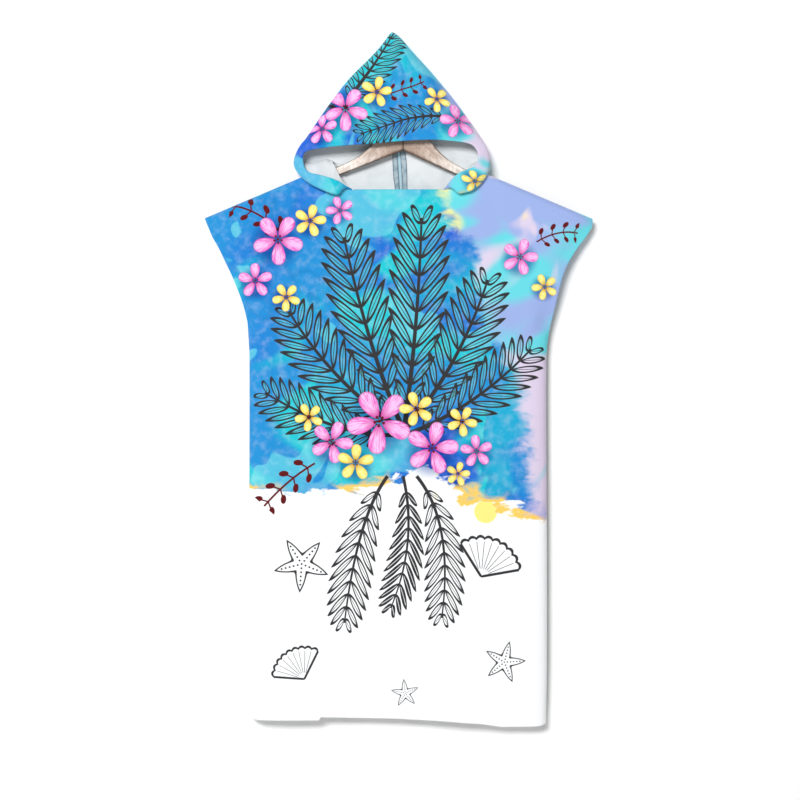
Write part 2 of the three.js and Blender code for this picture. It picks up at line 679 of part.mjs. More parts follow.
const hood = wall(hoodSurface, HOOD_COLUMNS, HOOD_ROWS, 0, WALL, besideBackSeam);
add(garment, "hood", hood, printedCloth);
const faceColumns = between(HOOD_COLUMNS, ...FACE_HEM_RUN);
const faceRows = between(HOOD_ROWS, 0, FACE_HEM_T);
add(garment, "hood_face_hem", hemOf(hoodSurface, faceColumns, faceRows), printedCloth);

const stripInner = WALL + SEAM_GAP + SEAM_STRIP.wall;
for (const side of ["left", "right"]) {
  const { nape, crown } = STRIP_ENDS;
  const run = side === "left" ? [nape, crown] : [1 - crown, 1 - nape];
  const columns = between(HOOD_COLUMNS, ...run);
  const strip = wall(hoodSurface, columns, STRIP_T, WALL + SEAM_GAP, stripInner);
  add(garment, `hood_seam_strip_${side}`, strip, plainCloth);
  add(towel, `hanger_arm_${side}`, hangerArm(side), wood);
}
add(towel, "hanger_hook", hangerHook(), steel);

export default towel;
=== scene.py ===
"""Hooded poncho beach towel, hung flat on a wooden hanger.

The cloth is worked out in millimetres in the garment's own frame, and turned to metres as each mesh
is made. A surface is a grid of points of the printed face: rows up from the hem, or back from the
face edge on the hood, and columns from the left as seen from the front.
"""

import math

import bpy
import numpy as np
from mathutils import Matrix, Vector


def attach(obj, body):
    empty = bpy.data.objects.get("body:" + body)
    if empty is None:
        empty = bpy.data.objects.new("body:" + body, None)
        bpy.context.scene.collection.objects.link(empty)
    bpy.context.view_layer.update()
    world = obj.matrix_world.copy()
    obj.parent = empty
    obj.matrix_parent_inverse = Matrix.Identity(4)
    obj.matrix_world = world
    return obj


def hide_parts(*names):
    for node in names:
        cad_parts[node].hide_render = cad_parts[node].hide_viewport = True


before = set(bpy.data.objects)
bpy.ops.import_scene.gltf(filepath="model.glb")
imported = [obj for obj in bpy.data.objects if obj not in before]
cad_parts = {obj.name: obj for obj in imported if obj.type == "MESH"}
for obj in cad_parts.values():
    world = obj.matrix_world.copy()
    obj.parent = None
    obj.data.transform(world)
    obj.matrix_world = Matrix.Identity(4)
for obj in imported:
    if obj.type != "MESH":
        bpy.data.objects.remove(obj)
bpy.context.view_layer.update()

# ---- Sizes of the cloth, in millimetres ----

MM = 0.001

WALL = 2.0  # thickness of the towelling
SEAM_GAP = 0.3
HEM_WALL = 1.5  # thickness of a turned-in hem, pressed flat
FOLD_EDGE = WALL + SEAM_GAP + HEM_WALL  # thickness of a hemmed edge
FACING = {"front": 1, "back": -1}  # which way a panel's grid turns its normals

GARMENT_X = -10.0  # centre line of the garment, to one side of the hook
NECK_SLOPE = 0.424
SHOULDER = {"x": 178.0, "z": -187.0}
NECK_POINT = {"left": -124.0, "right": 142.0}
NECKLINE = {"left": -89.0, "right": 89.0, "z": -217.0}
NAPE_Z = -225.0
UNDERARM_Z = -500.0
TIP_Z = -271.0
NECK_S = 0.25  # place of the neck point along the top edge
FRONT_CORNER_S = 0.36  # and of the front neckline's end
SLEEVE_T = 0.6  # place of the underarm up the side edge
NECK_PULL = {"outwards": 0.68, "upwards": 0.26, "back": 0.7}

SHOULDER_ROUND = 12.0
SIDE_ROUND = 42.0
SLEEVE_HALF_GAP = 10.0
SLEEVE_SOFTENS = 3.0  # how fast the round side edge turns soft above the underarm
CREASE_START = {"side": 60.0, "top": 50.0}  # distance from an edge at which creases are whole

BOTTOM_HEM = 25.0
SLEEVE_HEM = 18.0
NECK_HEM = 18.0
FACE_HEM = 20.0

HOOD_DEPTH = 222.0  # cut depth of the hood, from its face edge to its back seam
HOOD_LENGTH = 630.0  # cut length of the hood, round the face
HOOD_FLOOR_Y = -15.0
HOOD_TURN = 12.0
FOLD_ROUND = {"front": 52.0, "rear": 26.0}
BACK_SEAM = {"tip_x": -12.0, "tip_z": 89.0, "nape_x": 6.5, "gap": SEAM_GAP / 2 + 0.1}
SEAM_PARTS = 20.0  # how fast the back seam's two edges part below the tip
SEAM_CALM = 20.0  # how fast creases rise in front of the back seam
HOOD_MIDDLE = 6.0  # creases of the hood's front and rear are whole this far from its middle plane
FACE_RIDGE = {"height": 1.9, "width": 6.0}  # where the face hem is stitched down
SEAM_CLEAR = SEAM_GAP * 1.5  # room between two cloths that lie on each other
LAP = WALL + SEAM_CLEAR
NECK_POINT_CLEAR = LAP + 2.6
NECK_SETTLES = {"front": 5.0, "back": 8.0}  # how fast the hood's edge lies down past the neck point
STRIP = {"inner": 2.0, "outer": 11.0, "wall": 1.0, "nape": 0.006, "crown": 0.4}


def table(columns, *rows):
    """A short table, as one array for each named column."""
    return {name: np.array(values, float) for name, values in zip(columns.split(), zip(*rows))}


EDGES = table(
    "z left right",
    (-1250, -289, 287),
    (-1150, -293, 289),
    (-900, -289, 289),
    (-543, -288, 288),
    (-500, -290, 292),
    (-460, -293, 299),
    (-433, -300, 305),
    (-408, -309, 311),
    (-379, -321, 319),
    (-354, -333, 330),
    (-327, -346, 347),
    (-305, -359, 364),
    (-288, -368, 376),
    (-271, -375, 378),
)
HEM_STEP = {"outer": -153.0, "inner": -149.0}
HEM_LINE = table(
    "x z",
    (-290, -1229),
    (-284, -1238),
    (-272, -1241),
    (HEM_STEP["outer"], -1241),
    (HEM_STEP["inner"], -1235),
    (0, -1238),
    (81, -1242),
    (162, -1248),
    (201, -1254),
    (278, -1253),
    (290, -1248),
)
DEPTHS = table(
    "z front back",
    (-1250, 14, 12),
    (-1000, 16, 13),
    (-650, 15, 14),
    (-400, 13, 12),
    (-230, 11, 10),
    (-160, 10, 10),
)

# Soft folds that rise from the hem. They lean inwards and fade on the way up.
FOLD_LEAN = 0.15
FOLD_FADE = 1.5
FOLDS = {
    "front": table(
        "x reach width depth",
        (-205, 520, 46, 3.5),
        (-60, 330, 60, -2.5),
        (118, 610, 52, 4),
        (222, 260, 34, -2),
    ),
    "back": table(
        "x reach width depth",
        (-150, 560, 55, 4),
        (20, 380, 48, -2.5),
        (190, 480, 44, 3.5),
    ),
}

# Creases of each piece, from one point to another in X and Z. A depth below 0 is a trough.
CREASE_BOW = 0.08  # how far a crease bows to one side, as a share of its length
CREASE_ENDS = 0.25  # share of its depth that is left at its ends
CREASES = {
    "front": table(
        "x0 z0 x1 z1 width depth",
        (-150, -215, -262, -430, 20, -0.9),
        (-118, -250, -150, -520, 26, 0.8),
        (168, -215, 270, -400, 18, -0.9),
        (120, -245, 176, -470, 24, 0.9),
        (-282, -470, -190, -560, 16, -1.1),
        (284, -480, 205, -590, 15, -1.0),
        (-240, -700, -120, -820, 30, 0.8),
        (60, -930, 210, -1060, 34, -0.9),
    ),
    "back": table(
        "x0 z0 x1 z1 width depth",
        (-140, -200, -255, -420, 22, -1.0),
        (150, -205, 262, -430, 20, -1.0),
        (-40, -240, -70, -520, 30, 0.9),
        (60, -250, 92, -480, 26, -0.8),
        (-280, -480, -180, -590, 16, -1.1),
        (282, -470, 200, -570, 15, -1.0),
        (-90, -820, 60, -930, 34, 0.9),
    ),
    "hood_front": table(
        "x0 z0 x1 z1 width depth",
        (-150, -112, -60, -98, 10, 0.7),
        (-30, -101, 96, -92, 9, 0.8),
        (110, -96, 150, -112, 8, 0.6),
        (-70, 10, -40, -40, 14, -0.7),
        (150, -205, 122, -236, 7, -0.9),
    ),
    "hood_rear": table(
        "x0 z0 x1 z1 width depth",
        (-152, -156, -126, -163, 5, -1.4),
        (-126, -163, -100, -160, 5, -1.1),
        (108, -124, 144, -172, 6, -1.3),
        (-90, -20, -60, -110, 14, -1.0),
        (70, -30, 50, -120, 14, 1.0),
    ),
}

HOOD_SECTIONS = {
    "left": table(
        "at face fold over rear",
        (0.0, (-4, -24, -122), (-12, 0, 89), (-12, 0, 89), (0, 89)),
        (0.13, (-44, -25, -126), (-50, 0, 47), (-50, 0, 47), (5, 49)),
        (0.25, (-84, -26, -129), (-92, 0, 5), (-92, 0, 5), (9, 9)),
        (0.38, (-124, -24, -132), (-130, 0, -43), (-130, 0, -43), (12, -31)),
        (0.52, (-168, -20, -138), (-171, 0, -102), (-171, 0, -102), (14, -76)),
        (0.575, (-184, -17, -143), (-191, 0, -133), (-191, 0, -133), (15, -92)),
        (0.62, (-186, -20, -157), (-202, 0, -160), (-202, 0, -159), (15, -106)),
        (0.68, (-182, -25, -176), (-195, -10, -182), (-192, 0, -164), (16, -126)),
        (0.72, (-174, -28, -186), (-180, -15, -199), (-178, 0, -166), (16, -138)),
        (0.79, (-153, -29, -190), (-154, -21, -215), (-162, 0, -162), (16, -160)),
        (0.89, (-122, -28, -199), (-123, -21, -228), (-147, 0, -158), (15, -192)),
        (0.95, (-104, -26, -207), (-111, -20, -226), (-137, 0, -156), (14, -211)),
    ),
    "right": table(
        "at face fold over rear",
        (0.0, (-4, -24, -122), (-12, 0, 89), (-12, 0, 89), (0, 89)),
        (0.045, (8.5, -24.3, -121.3), (4, 0, 81), (4, 0, 81), (1.7, 75)),
        (0.13, (32, -25, -120), (27, 0, 56), (27, 0, 56), (5, 49)),
        (0.25, (66, -26, -119), (66, 0, 13), (66, 0, 13), (9, 9)),
        (0.38, (102, -24, -121), (109, 0, -39), (109, 0, -39), (12, -31)),
        (0.52, (142, -20, -127), (151, 0, -97), (151, 0, -97), (14, -76)),
        (0.575, (153, -17, -137), (171, 0, -129), (171, 0, -129), (15, -92)),
        (0.63, (158, -20, -151), (179, 0, -156), (177, 0, -155), (15, -106)),
        (0.7, (153, -25, -170), (176, -11, -182), (172, 0, -161), (16, -126)),
        (0.76, (139, -27, -178), (167, -17, -201), (166, 0, -163), (16, -138)),
        (0.84, (118, -28, -187), (143, -21, -222), (160, 0, -163), (16, -160)),
        (0.93, (99, -27, -204), (117, -20, -228), (152, 0, -162), (15, -194)),
    ),
}

# ---- The printed design: places in the cut's own X and Z ----

PINK, YELLOW, STARFISH, SHELL = 1, 2, 3, 4
OUTLINED, FILLED, BERRIES = 1, 2, 3

BLOOMS = {
    "front": table(
        "kind x z size turn",
        (PINK, -36, -664, 64, 12),
        (PINK, 66, -716, 52, 40),
        (YELLOW, 36, -640, 34, 0),
        (PINK, -128, -704, 42, 30),
        (YELLOW, -82, -744, 36, 50),
        (PINK, -6, -752, 36, 5),
        (YELLOW, 124, -664, 30, 25),
        (PINK, 152, -722, 32, 60),
        (YELLOW, -172, -656, 28, 10),
        (YELLOW, 116, -766, 24, 40),
        (PINK, -232, -312, 50, 20),
        (YELLOW, -170, -276, 32, 40),
        (PINK, -276, -392, 34, 55),
        (YELLOW, -216, -424, 28, 15),
        (PINK, -112, -256, 28, 0),
        (PINK, 236, -346, 36, 35),
        (YELLOW, 284, -404, 26, 5),
        (STARFISH, -186, -940, 56, 14),
        (STARFISH, 206, -1130, 42, 40),
        (SHELL, 176, -930, 52, -24),
        (SHELL, -196, -1136, 42, 30),
        (STARFISH, 14, -1190, 28, 60),
    ),
    "back": table(
        "kind x z size turn",
        (PINK, 60, -470, 62, 22),
        (YELLOW, -12, -438, 34, 0),
        (PINK, -56, -514, 46, 50),
        (PINK, 140, -530, 40, 10),
        (YELLOW, 124, -420, 30, 30),
        (YELLOW, 36, -562, 30, 15),
        (PINK, -232, -760, 44, 20),
        (YELLOW, -176, -806, 30, 45),
        (PINK, 226, -290, 36, 12),
        (YELLOW, 176, -250, 26, 35),
        (STARFISH, 150, -950, 56, 24),
        (SHELL, -40, -1120, 50, 20),
        (STARFISH, -226, -1140, 38, 10),
        (SHELL, 190, -1140, 42, -30),
    ),
    "hood": table(
        "kind x z size turn",
        (PINK, -92, 66, 42, 15),
        (YELLOW, -34, 96, 30, 40),
        (PINK, -140, 34, 30, 50),
        (PINK, 130, 40, 36, 0),
        (YELLOW, 88, 78, 26, 20),
        (PINK, 236, 120, 40, 30),
        (PINK, -232, 66, 34, 10),
        (YELLOW, -268, 140, 28, 25),
        (YELLOW, 250, 22, 22, 60),
    ),
}

# Fronds run on a curve from their base past a side point to their tip.
FRONDS = {
    "front": table(
        "kind x0 z0 x1 z1 x2 z2 width",
        (OUTLINED, 8, -690, -110, -700, -262, -606, 54),
        (OUTLINED, 8, -680, -130, -590, -214, -446, 62),
        (OUTLINED, 10, -680, -60, -520, -106, -300, 62),
        (OUTLINED, 12, -680, 40, -480, 46, -262, 62),
        (OUTLINED, 14, -680, 120, -560, 176, -384, 62),
        (OUTLINED, 16, -690, 150, -640, 262, -520, 56),
        (BERRIES, -200, -330, -260, -250, -330, -246, 24),
        (BERRIES, 250, -330, 300, -290, 352, -300, 20),
        (OUTLINED, -20, -770, -80, -850, -104, -1060, 44),
        (FILLED, 10, -770, 40, -900, -16, -1030, 38),
        (OUTLINED, 36, -770, 110, -860, 84, -1050, 42),
        (BERRIES, -130, -730, -200, -760, -262, -832, 26),
    ),
    "back": table(
        "kind x0 z0 x1 z1 x2 z2 width",
        (OUTLINED, 40, -500, -100, -420, -226, -300, 60),
        (OUTLINED, 40, -500, -120, -520, -262, -600, 56),
        (OUTLINED, 50, -520, 0, -640, -110, -770, 58),
        (OUTLINED, 60, -520, 110, -640, 90, -800, 58),
        (OUTLINED, 60, -510, 190, -560, 262, -690, 56),
        (OUTLINED, 60, -480, 160, -410, 274, -400, 48),
        (OUTLINED, 44, -470, 30, -380, -20, -262, 46),
        (BERRIES, 190, -310, 250, -260, 320, -282, 20),
        (FILLED, -200, -800, -120, -880, -60, -1020, 38),
        (OUTLINED, -230, -790, -260, -900, -200, -1050, 42),
    ),
    "hood": table(
        "kind x0 z0 x1 z1 x2 z2 width",
        (OUTLINED, -92, 66, -40, 150, 10, 216, 46),
        (OUTLINED, 120, 44, 40, 50, -70, 16, 34),
        (OUTLINED, -100, 60, -170, 110, -160, 208, 42),
        (OUTLINED, 236, 112, 200, 150, 150, 204, 38),
        (OUTLINED, -234, 70, -250, 140, -216, 216, 34),
        (BERRIES, -40, 96, 10, 84, 66, 112, 17),
    ),
}
BLOOM_LAYERS = 3
FROND_LAYERS = 2
BLOOM_REACH = 1.3  # how far the print of a bloom and its shade reach, in its own sizes
FROND_REACH = 1.15
FACE_SIZE = 4.0  # about the size of one face of the cloth's mesh

# ---- Small helpers ----


def clamp01(value):
    return np.clip(value, 0, 1)


def lerp(a, b, t):
    return a + (b - a) * t


def ease(value):
    """A soft step from 0 to 1."""
    kept = clamp01(value)
    return kept**2 * (3 - 2 * kept)


def quarter(distance, reach):
    """A quarter circle's rise, from 0 at the edge to 1 at the given reach."""
    return np.sqrt(1 - (1 - clamp01(distance / reach)) ** 2)


def bend(start, pull, end, t):
    """A point of the curve that leaves start towards pull and reaches end from there."""
    return lerp(lerp(start, pull, t), lerp(pull, end, t), t)


def unit(vectors):
    lengths = np.linalg.norm(vectors, axis=-1, keepdims=True)
    return vectors / np.maximum(lengths, 1e-9)


def smooth(rows, key, name, at):
    """Value of one column of a table at a key, on a smooth curve through its rows."""
    keys, values = rows[key], rows[name]
    if values.ndim > 1:
        parts = [{key: keys, name: values[:, k]} for k in range(values.shape[1])]
        return np.stack([smooth(part, key, name, at) for part in parts], -1)
    places = np.arange(len(keys))
    after = np.minimum(places + 1, len(keys) - 1)
    before = np.maximum(places - 1, 0)
    slopes = (values[after] - values[before]) / (keys[after] - keys[before])
    i = np.clip(np.searchsorted(keys, at, side="right") - 1, 0, len(keys) - 2)
    span = keys[i + 1] - keys[i]
    t = clamp01((at - keys[i]) / span)
    rise = values[i + 1] - values[i]
    start, end = slopes[i] * span, slopes[i + 1] * span
    return values[i] + t * (start + t * (3 * rise - 2 * start - end + t * (start + end - 2 * rise)))


def along(points, shares):
    """Points at shares of the way along a chain of points."""
    steps = np.linalg.norm(np.diff(points, axis=0), axis=1)
    travelled = np.concatenate([[0], np.cumsum(steps)]) / max(steps.sum(), 1e-9)
    return np.stack([np.interp(shares, travelled, points[:, k]) for k in range(3)], -1)


def with_own(run, own):
    """A run of values with some of its own put in, in place of any that lie close to them."""
    own = np.array(own, float)
    close = 0.4 * (run[1] - run[0])
    kept = run[np.abs(run[:, None] - own[None, :]).min(axis=1) > close]
    return np.sort(np.concatenate([kept, own]))


def crease_depth(creases, x, z):
    """Height of some creases over points. Each is a little bowed and fades out at its ends."""
    total = np.zeros_like(x)
    for x0, z0, x1, z1, width, depth in zip(*creases.values()):
        run = np.array([x1 - x0, z1 - z0])
        length = math.hypot(*run)
        share = ((x - x0) * run[0] + (z - z0) * run[1]) / (run @ run)
        swell = np.sin(np.pi * clamp01(share))
        away = ((x - x0) * run[1] - (z - z0) * run[0]) / length - CREASE_BOW * length * swell
        past = np.maximum(np.abs(share - 0.5) - 0.5, 0) * length
        fade = lerp(CREASE_ENDS, 1, swell)
        total += depth * fade * np.exp(-(away**2 + past**2) / width**2)
    return total


# ---- Body panels ----


def shoulder_z(x):
    return SHOULDER["z"] - (np.abs(x) - SHOULDER["x"]) * NECK_SLOPE


def top_edge(panel, s):
    """X and Z of a panel's top edge, from one sleeve tip to the other."""
    side = "left" if s < 0.5 else "right"
    start = min(s, 1 - s)
    neck = np.array([NECK_POINT[side], shoulder_z(NECK_POINT[side])])
    if start <= NECK_S:
        x = lerp(smooth(EDGES, "z", side, TIP_Z), neck[0], start / NECK_S)
        return np.array([x, shoulder_z(x)])
    if panel == "back":
        nape = np.array([BACK_SEAM["nape_x"], NAPE_Z])
        pull = np.array([neck[0] * NECK_PULL["back"], NAPE_Z])
        return bend(neck, pull, nape, (start - NECK_S) / (0.5 - NECK_S))
    corner = np.array([NECKLINE[side], NECKLINE["z"]])
    if start < FRONT_CORNER_S:
        pull = lerp(corner, neck, np.array([NECK_PULL["outwards"], NECK_PULL["upwards"]]))
        return bend(neck, pull, corner, (start - NECK_S) / (FRONT_CORNER_S - NECK_S))
    middle = (NECKLINE["left"] + NECKLINE["right"]) / 2
    share = (start - FRONT_CORNER_S) / (0.5 - FRONT_CORNER_S)
    return np.array([lerp(corner[0], middle, share), NECKLINE["z"]])


def side_edge(side, t):
    """X and Z of the side edge: the side seam, then the edge of the sleeve."""
    foot = HEM_LINE["z"][0 if side == "left" else -1]
    tip = shoulder_z(smooth(EDGES, "z", side, TIP_Z))
    if t < SLEEVE_T:
        z = lerp(foot, UNDERARM_Z, t / SLEEVE_T)
    else:
        z = lerp(UNDERARM_Z, tip, (t - SLEEVE_T) / (1 - SLEEVE_T))
    return np.array([smooth(EDGES, "z", side, z), z])


def hem_edge(panel, s):
    """X and Z of the bottom edge, as far along it as the top edge's point at the same s."""
    side = "left" if s < 0.5 else "right"
    tip = top_edge(panel, 0 if side == "left" else 1)
    x = top_edge(panel, s)[0] / tip[0] * side_edge(side, 0)[0]
    return np.array([x, np.interp(x, HEM_LINE["x"], HEM_LINE["z"])])


def fold_depth(panel, x, z):
    """Depth of the soft folds that rise from the hem."""
    total = np.zeros_like(x)
    for fold_x, reach, width, depth in zip(*FOLDS[panel].values()):
        up = clamp01((z - HEM_LINE["z"][0]) / reach)
        away = (x - fold_x * (1 - FOLD_LEAN * up)) / width
        total += depth * np.exp(-away * away) * (1 - up) ** FOLD_FADE
    return total


def panel_surface(panel, s, t):
    """Grid of a panel's printed face at columns s and rows t."""
    s, t = np.atleast_1d(s).astype(float), np.atleast_1d(t).astype(float)
    top = np.array([top_edge(panel, v) for v in s])
    hem = np.array([hem_edge(panel, v) for v in s])
    left = np.array([side_edge("left", v) for v in t])[:, None]
    right = np.array([side_edge("right", v) for v in t])[:, None]
    across, up = s[None, :, None], t[:, None, None]
    low = lerp(side_edge("left", 0), side_edge("right", 0), across)
    high = lerp(top_edge(panel, 0), top_edge(panel, 1), across)
    plan = lerp(hem, top, up) + lerp(left, right, across) - lerp(low, high, up)
    x, z = plan[..., 0], plan[..., 1]
    inside = np.minimum(x - smooth(EDGES, "z", "left", z), smooth(EDGES, "z", "right", z) - x)
    opening = np.sin(np.pi * clamp01((z - UNDERARM_Z) / (TIP_Z - UNDERARM_Z)))
    below = shoulder_z(x) - z
    creased = ease(inside / CREASE_START["side"]) * ease(below / CREASE_START["top"])
    full = smooth(DEPTHS, "z", panel, z) + fold_depth(panel, x, z)
    full = full + crease_depth(CREASES[panel], x, z) * creased
    softer = clamp01(opening * SLEEVE_SOFTENS)
    rise = lerp(quarter(inside, SIDE_ROUND), ease(inside / SIDE_ROUND), softer)
    spread = lerp(SLEEVE_HALF_GAP * opening, full, rise)
    depth = SEAM_GAP / 2 + spread * quarter(below - SEAM_GAP, SHOULDER_ROUND)
    return np.stack([x, -FACING[panel] * depth, z], -1)


def panel_normal(panel, s):
    """Outward normals at the top edge of a panel."""
    step = 2e-3
    across = panel_surface(panel, clamp01(s + step), 1)[0] - panel_surface(panel, clamp01(s - step), 1)[0]
    up = panel_surface(panel, s, 1)[0] - panel_surface(panel, s, 1 - step)[0]
    return unit(np.cross(across, up)) * FACING[panel]


def own_side(panel):
    """Keeps each skin of a panel on its own side of the middle plane."""
    limit = SEAM_GAP / 2

    def settle(points):
        y = points[..., 1]
        points[..., 1] = np.minimum(y, -limit) if panel == "front" else np.maximum(y, limit)
        return points

    return settle


def panel_cut(grid):
    """Places in the flat cut: cloth lengths across from the middle and up from the hem."""
    step = np.diff(grid, axis=1)
    across = np.cumsum(np.hypot(step[..., 0], step[..., 1]), axis=1)
    across = np.concatenate([np.zeros((len(grid), 1)), across], axis=1)
    middle = grid.shape[1] // 2
    u = across - across[:, middle : middle + 1] + grid[:, middle : middle + 1, 0]
    step = np.diff(grid, axis=0)
    up = np.cumsum(np.sign(step[..., 2]) * np.hypot(step[..., 1], step[..., 2]), axis=0)
    v = np.concatenate([grid[:1, :, 2], grid[:1, :, 2] + up])
    return np.stack([u, v], -1)


# ---- Hood ----

CHAIN_STEPS = 40
HOOD_SOFTENING = 14
TIP_REACH = 22.0  # how far round the tip the softened cloth is lifted back to its height


def back_seam_x(side, z):
    """X of the hood's back seam edge on one side at a height. Its two edges meet at the tip."""
    down = (BACK_SEAM["tip_z"] - z) / (BACK_SEAM["tip_z"] - NAPE_Z)
    gap = BACK_SEAM["gap"] * clamp01(down * SEAM_PARTS)
    return lerp(BACK_SEAM["tip_x"], BACK_SEAM["nape_x"], down) + (-gap if side == "left" else gap)


def round_from(fold, end, share, reach):
    """Points at shares of the way from a fold, where the cloth turns over, to a flat end."""
    length = max(np.linalg.norm(fold - end), 1e-6)
    points = lerp(fold, end, share[:, None])
    points[:, 1] = lerp(fold[1], end[1], quarter(share * length, min(reach, length)))
    return points


def hood_section(side, at):
    """One section of the hood: its chains from the face edge to the fold and on to the back."""
    rows = HOOD_SECTIONS[side]
    face, fold, over = (smooth(rows, "at", name, at) for name in ("face", "fold", "over"))
    rear_y, rear_z = smooth(rows, "at", "rear", at)
    nape = np.array([back_seam_x(side, rear_z), rear_y, rear_z])
    shares = np.linspace(0, 1, CHAIN_STEPS + 1)
    front = round_from(fold, face, (1 - shares[:-1]) ** 2, FOLD_ROUND["front"])
    floor = HOOD_FLOOR_Y * clamp01(-fold[1] / HOOD_TURN)
    turn = shares * math.pi
    over_fold = lerp(fold, over, ((1 - np.cos(turn)) / 2)[:, None])
    over_fold[:, 1] = lerp(np.where(shares < 0.5, fold[1], 0), floor, np.sin(turn))
    rear = round_from(over, nape, shares**2, FOLD_ROUND["rear"])
    return np.concatenate([front, over_fold]), rear


def neck_section(side):
    """The neck edge of the hood, along the body's neck edge and round the shoulder seam's end."""
    shares = np.linspace(0, 1, CHAIN_STEPS + 1)

    def beside(panel, start, clear):
        s = start if side == "left" else 1 - start
        points = np.array([panel_surface(panel, v, 1)[0, 0] for v in s])
        normals = np.array([panel_normal(panel, np.array([v]))[0] for v in s])
        return points + normals * clear[:, None]

    past = (1 - shares) ** 2
    clear = lerp(NECK_POINT_CLEAR, SEAM_CLEAR, clamp01(past * NECK_SETTLES["front"]))
    front = beside("front", lerp(NECK_S, FRONT_CORNER_S, past), clear)
    past = shares**2
    clear = lerp(NECK_POINT_CLEAR, LAP, clamp01(past * NECK_SETTLES["back"]))
    rear = beside("back", lerp(NECK_S, 0.5, past), clear)
    front[-1, 1] = 0
    rear[0] = front[-1]
    rear[-1, 0] = back_seam_x(side, NAPE_Z)
    return front, rear


NECK_SECTIONS = {side: neck_section(side) for side in ("left", "right")}


def hood_chain(u):
    """Chain of the hood's section at u, from -1 at the left neck edge to 1 at the right one."""
    side = "left" if u < 0 else "right"
    last = HOOD_SECTIONS[side]["at"][-1]
    parts = hood_section(side, min(abs(u), last))
    to_neck = clamp01((abs(u) - last) / (1 - last))
    if to_neck > 0:
        shares = np.linspace(0, 1, 2 * CHAIN_STEPS)
        pairs = zip(parts, NECK_SECTIONS[side])
        parts = [lerp(along(part, shares), along(neck, shares), to_neck) for part, neck in pairs]
    return np.concatenate([parts[0], parts[1][1:]])


def hood_surface(s, t):
    """Grid of the hood's printed face: s from neck to neck over the crown, t from face to back."""
    grid = np.stack([along(hood_chain(2 * v - 1), t) for v in s], axis=1)
    grid = softened(grid, HOOD_SOFTENING)
    tip = np.array([BACK_SEAM["tip_x"], 0, BACK_SEAM["tip_z"]])
    short = tip - grid[-1, len(s) // 2]
    away = np.linalg.norm(grid - tip, axis=-1, keepdims=True)
    grid = grid + short * np.exp(-((away / TIP_REACH) ** 2))
    normals = normals_of(grid)
    x, y, z = np.moveaxis(grid, -1, 0)
    depth = crease_depth(CREASES["hood_front"], x, z) * clamp01(-y / HOOD_MIDDLE)
    depth += crease_depth(CREASES["hood_rear"], x, z) * clamp01(y / HOOD_MIDDLE)
    past_hem = (t * HOOD_DEPTH - FACE_HEM)[:, None]
    depth += FACE_RIDGE["height"] * np.exp(-((past_hem / FACE_RIDGE["width"]) ** 2))
    return grid + normals * (depth * ease((1 - t) * SEAM_CALM)[:, None])[..., None]


def softened(grid, rounds):
    """A grid with its tight folds eased. Its ends stay where they are."""
    for _ in range(rounds):
        inner = grid[1:-1, 1:-1]
        beside = grid[:-2, 1:-1] + grid[2:, 1:-1] + grid[1:-1, :-2] + grid[1:-1, 2:]
        grid[1:-1, 1:-1] = inner / 2 + beside / 8
        grid[[0, -1], 1:-1] = grid[[0, -1], 1:-1] / 2 + (grid[[0, -1], :-2] + grid[[0, -1], 2:]) / 4
        grid[1:-1, [0, -1]] = grid[1:-1, [0, -1]] / 2 + (grid[:-2, [0, -1]] + grid[2:, [0, -1]]) / 4
    return grid


def normals_of(grid):
    across = np.gradient(grid, axis=1)
    up = np.gradient(grid, axis=0)
    return unit(np.cross(across, up))


def hood_cut(s, t):
    u, v = np.meshgrid((s - 0.5) * HOOD_LENGTH, t * HOOD_DEPTH)
    return np.stack([u, v], -1)


# ---- Walls of cloth ----

LIP_STEPS = 6
PLAIN_EDGE = 0.95  # a plain edge's last ring lies this far down the wall
SHARP = {"cloth": 40, "hard": 38, "thread": 180}  # edges that turn by more degrees look sharp


def lip_directions(grid, index, lips):
    """Which way each point's hem fold rolls out, and how much of a fold it is."""
    across, up = np.gradient(grid, axis=1), np.gradient(grid, axis=0)
    edges = [
        (index[0], -up[0]),
        (index[:, -1], across[:, -1]),
        (index[-1], up[-1]),
        (index[:, 0], -across[:, 0]),
    ]
    out, weight = np.zeros((index.size, 3)), np.zeros(index.size)
    for (places, direction), share in zip(edges, lips):
        share = np.broadcast_to(np.asarray(share, float), places.shape)
        out[places] += unit(direction) * share[:, None]
        weight[places] = np.maximum(weight[places], share)
    return unit(out), weight[:, None]


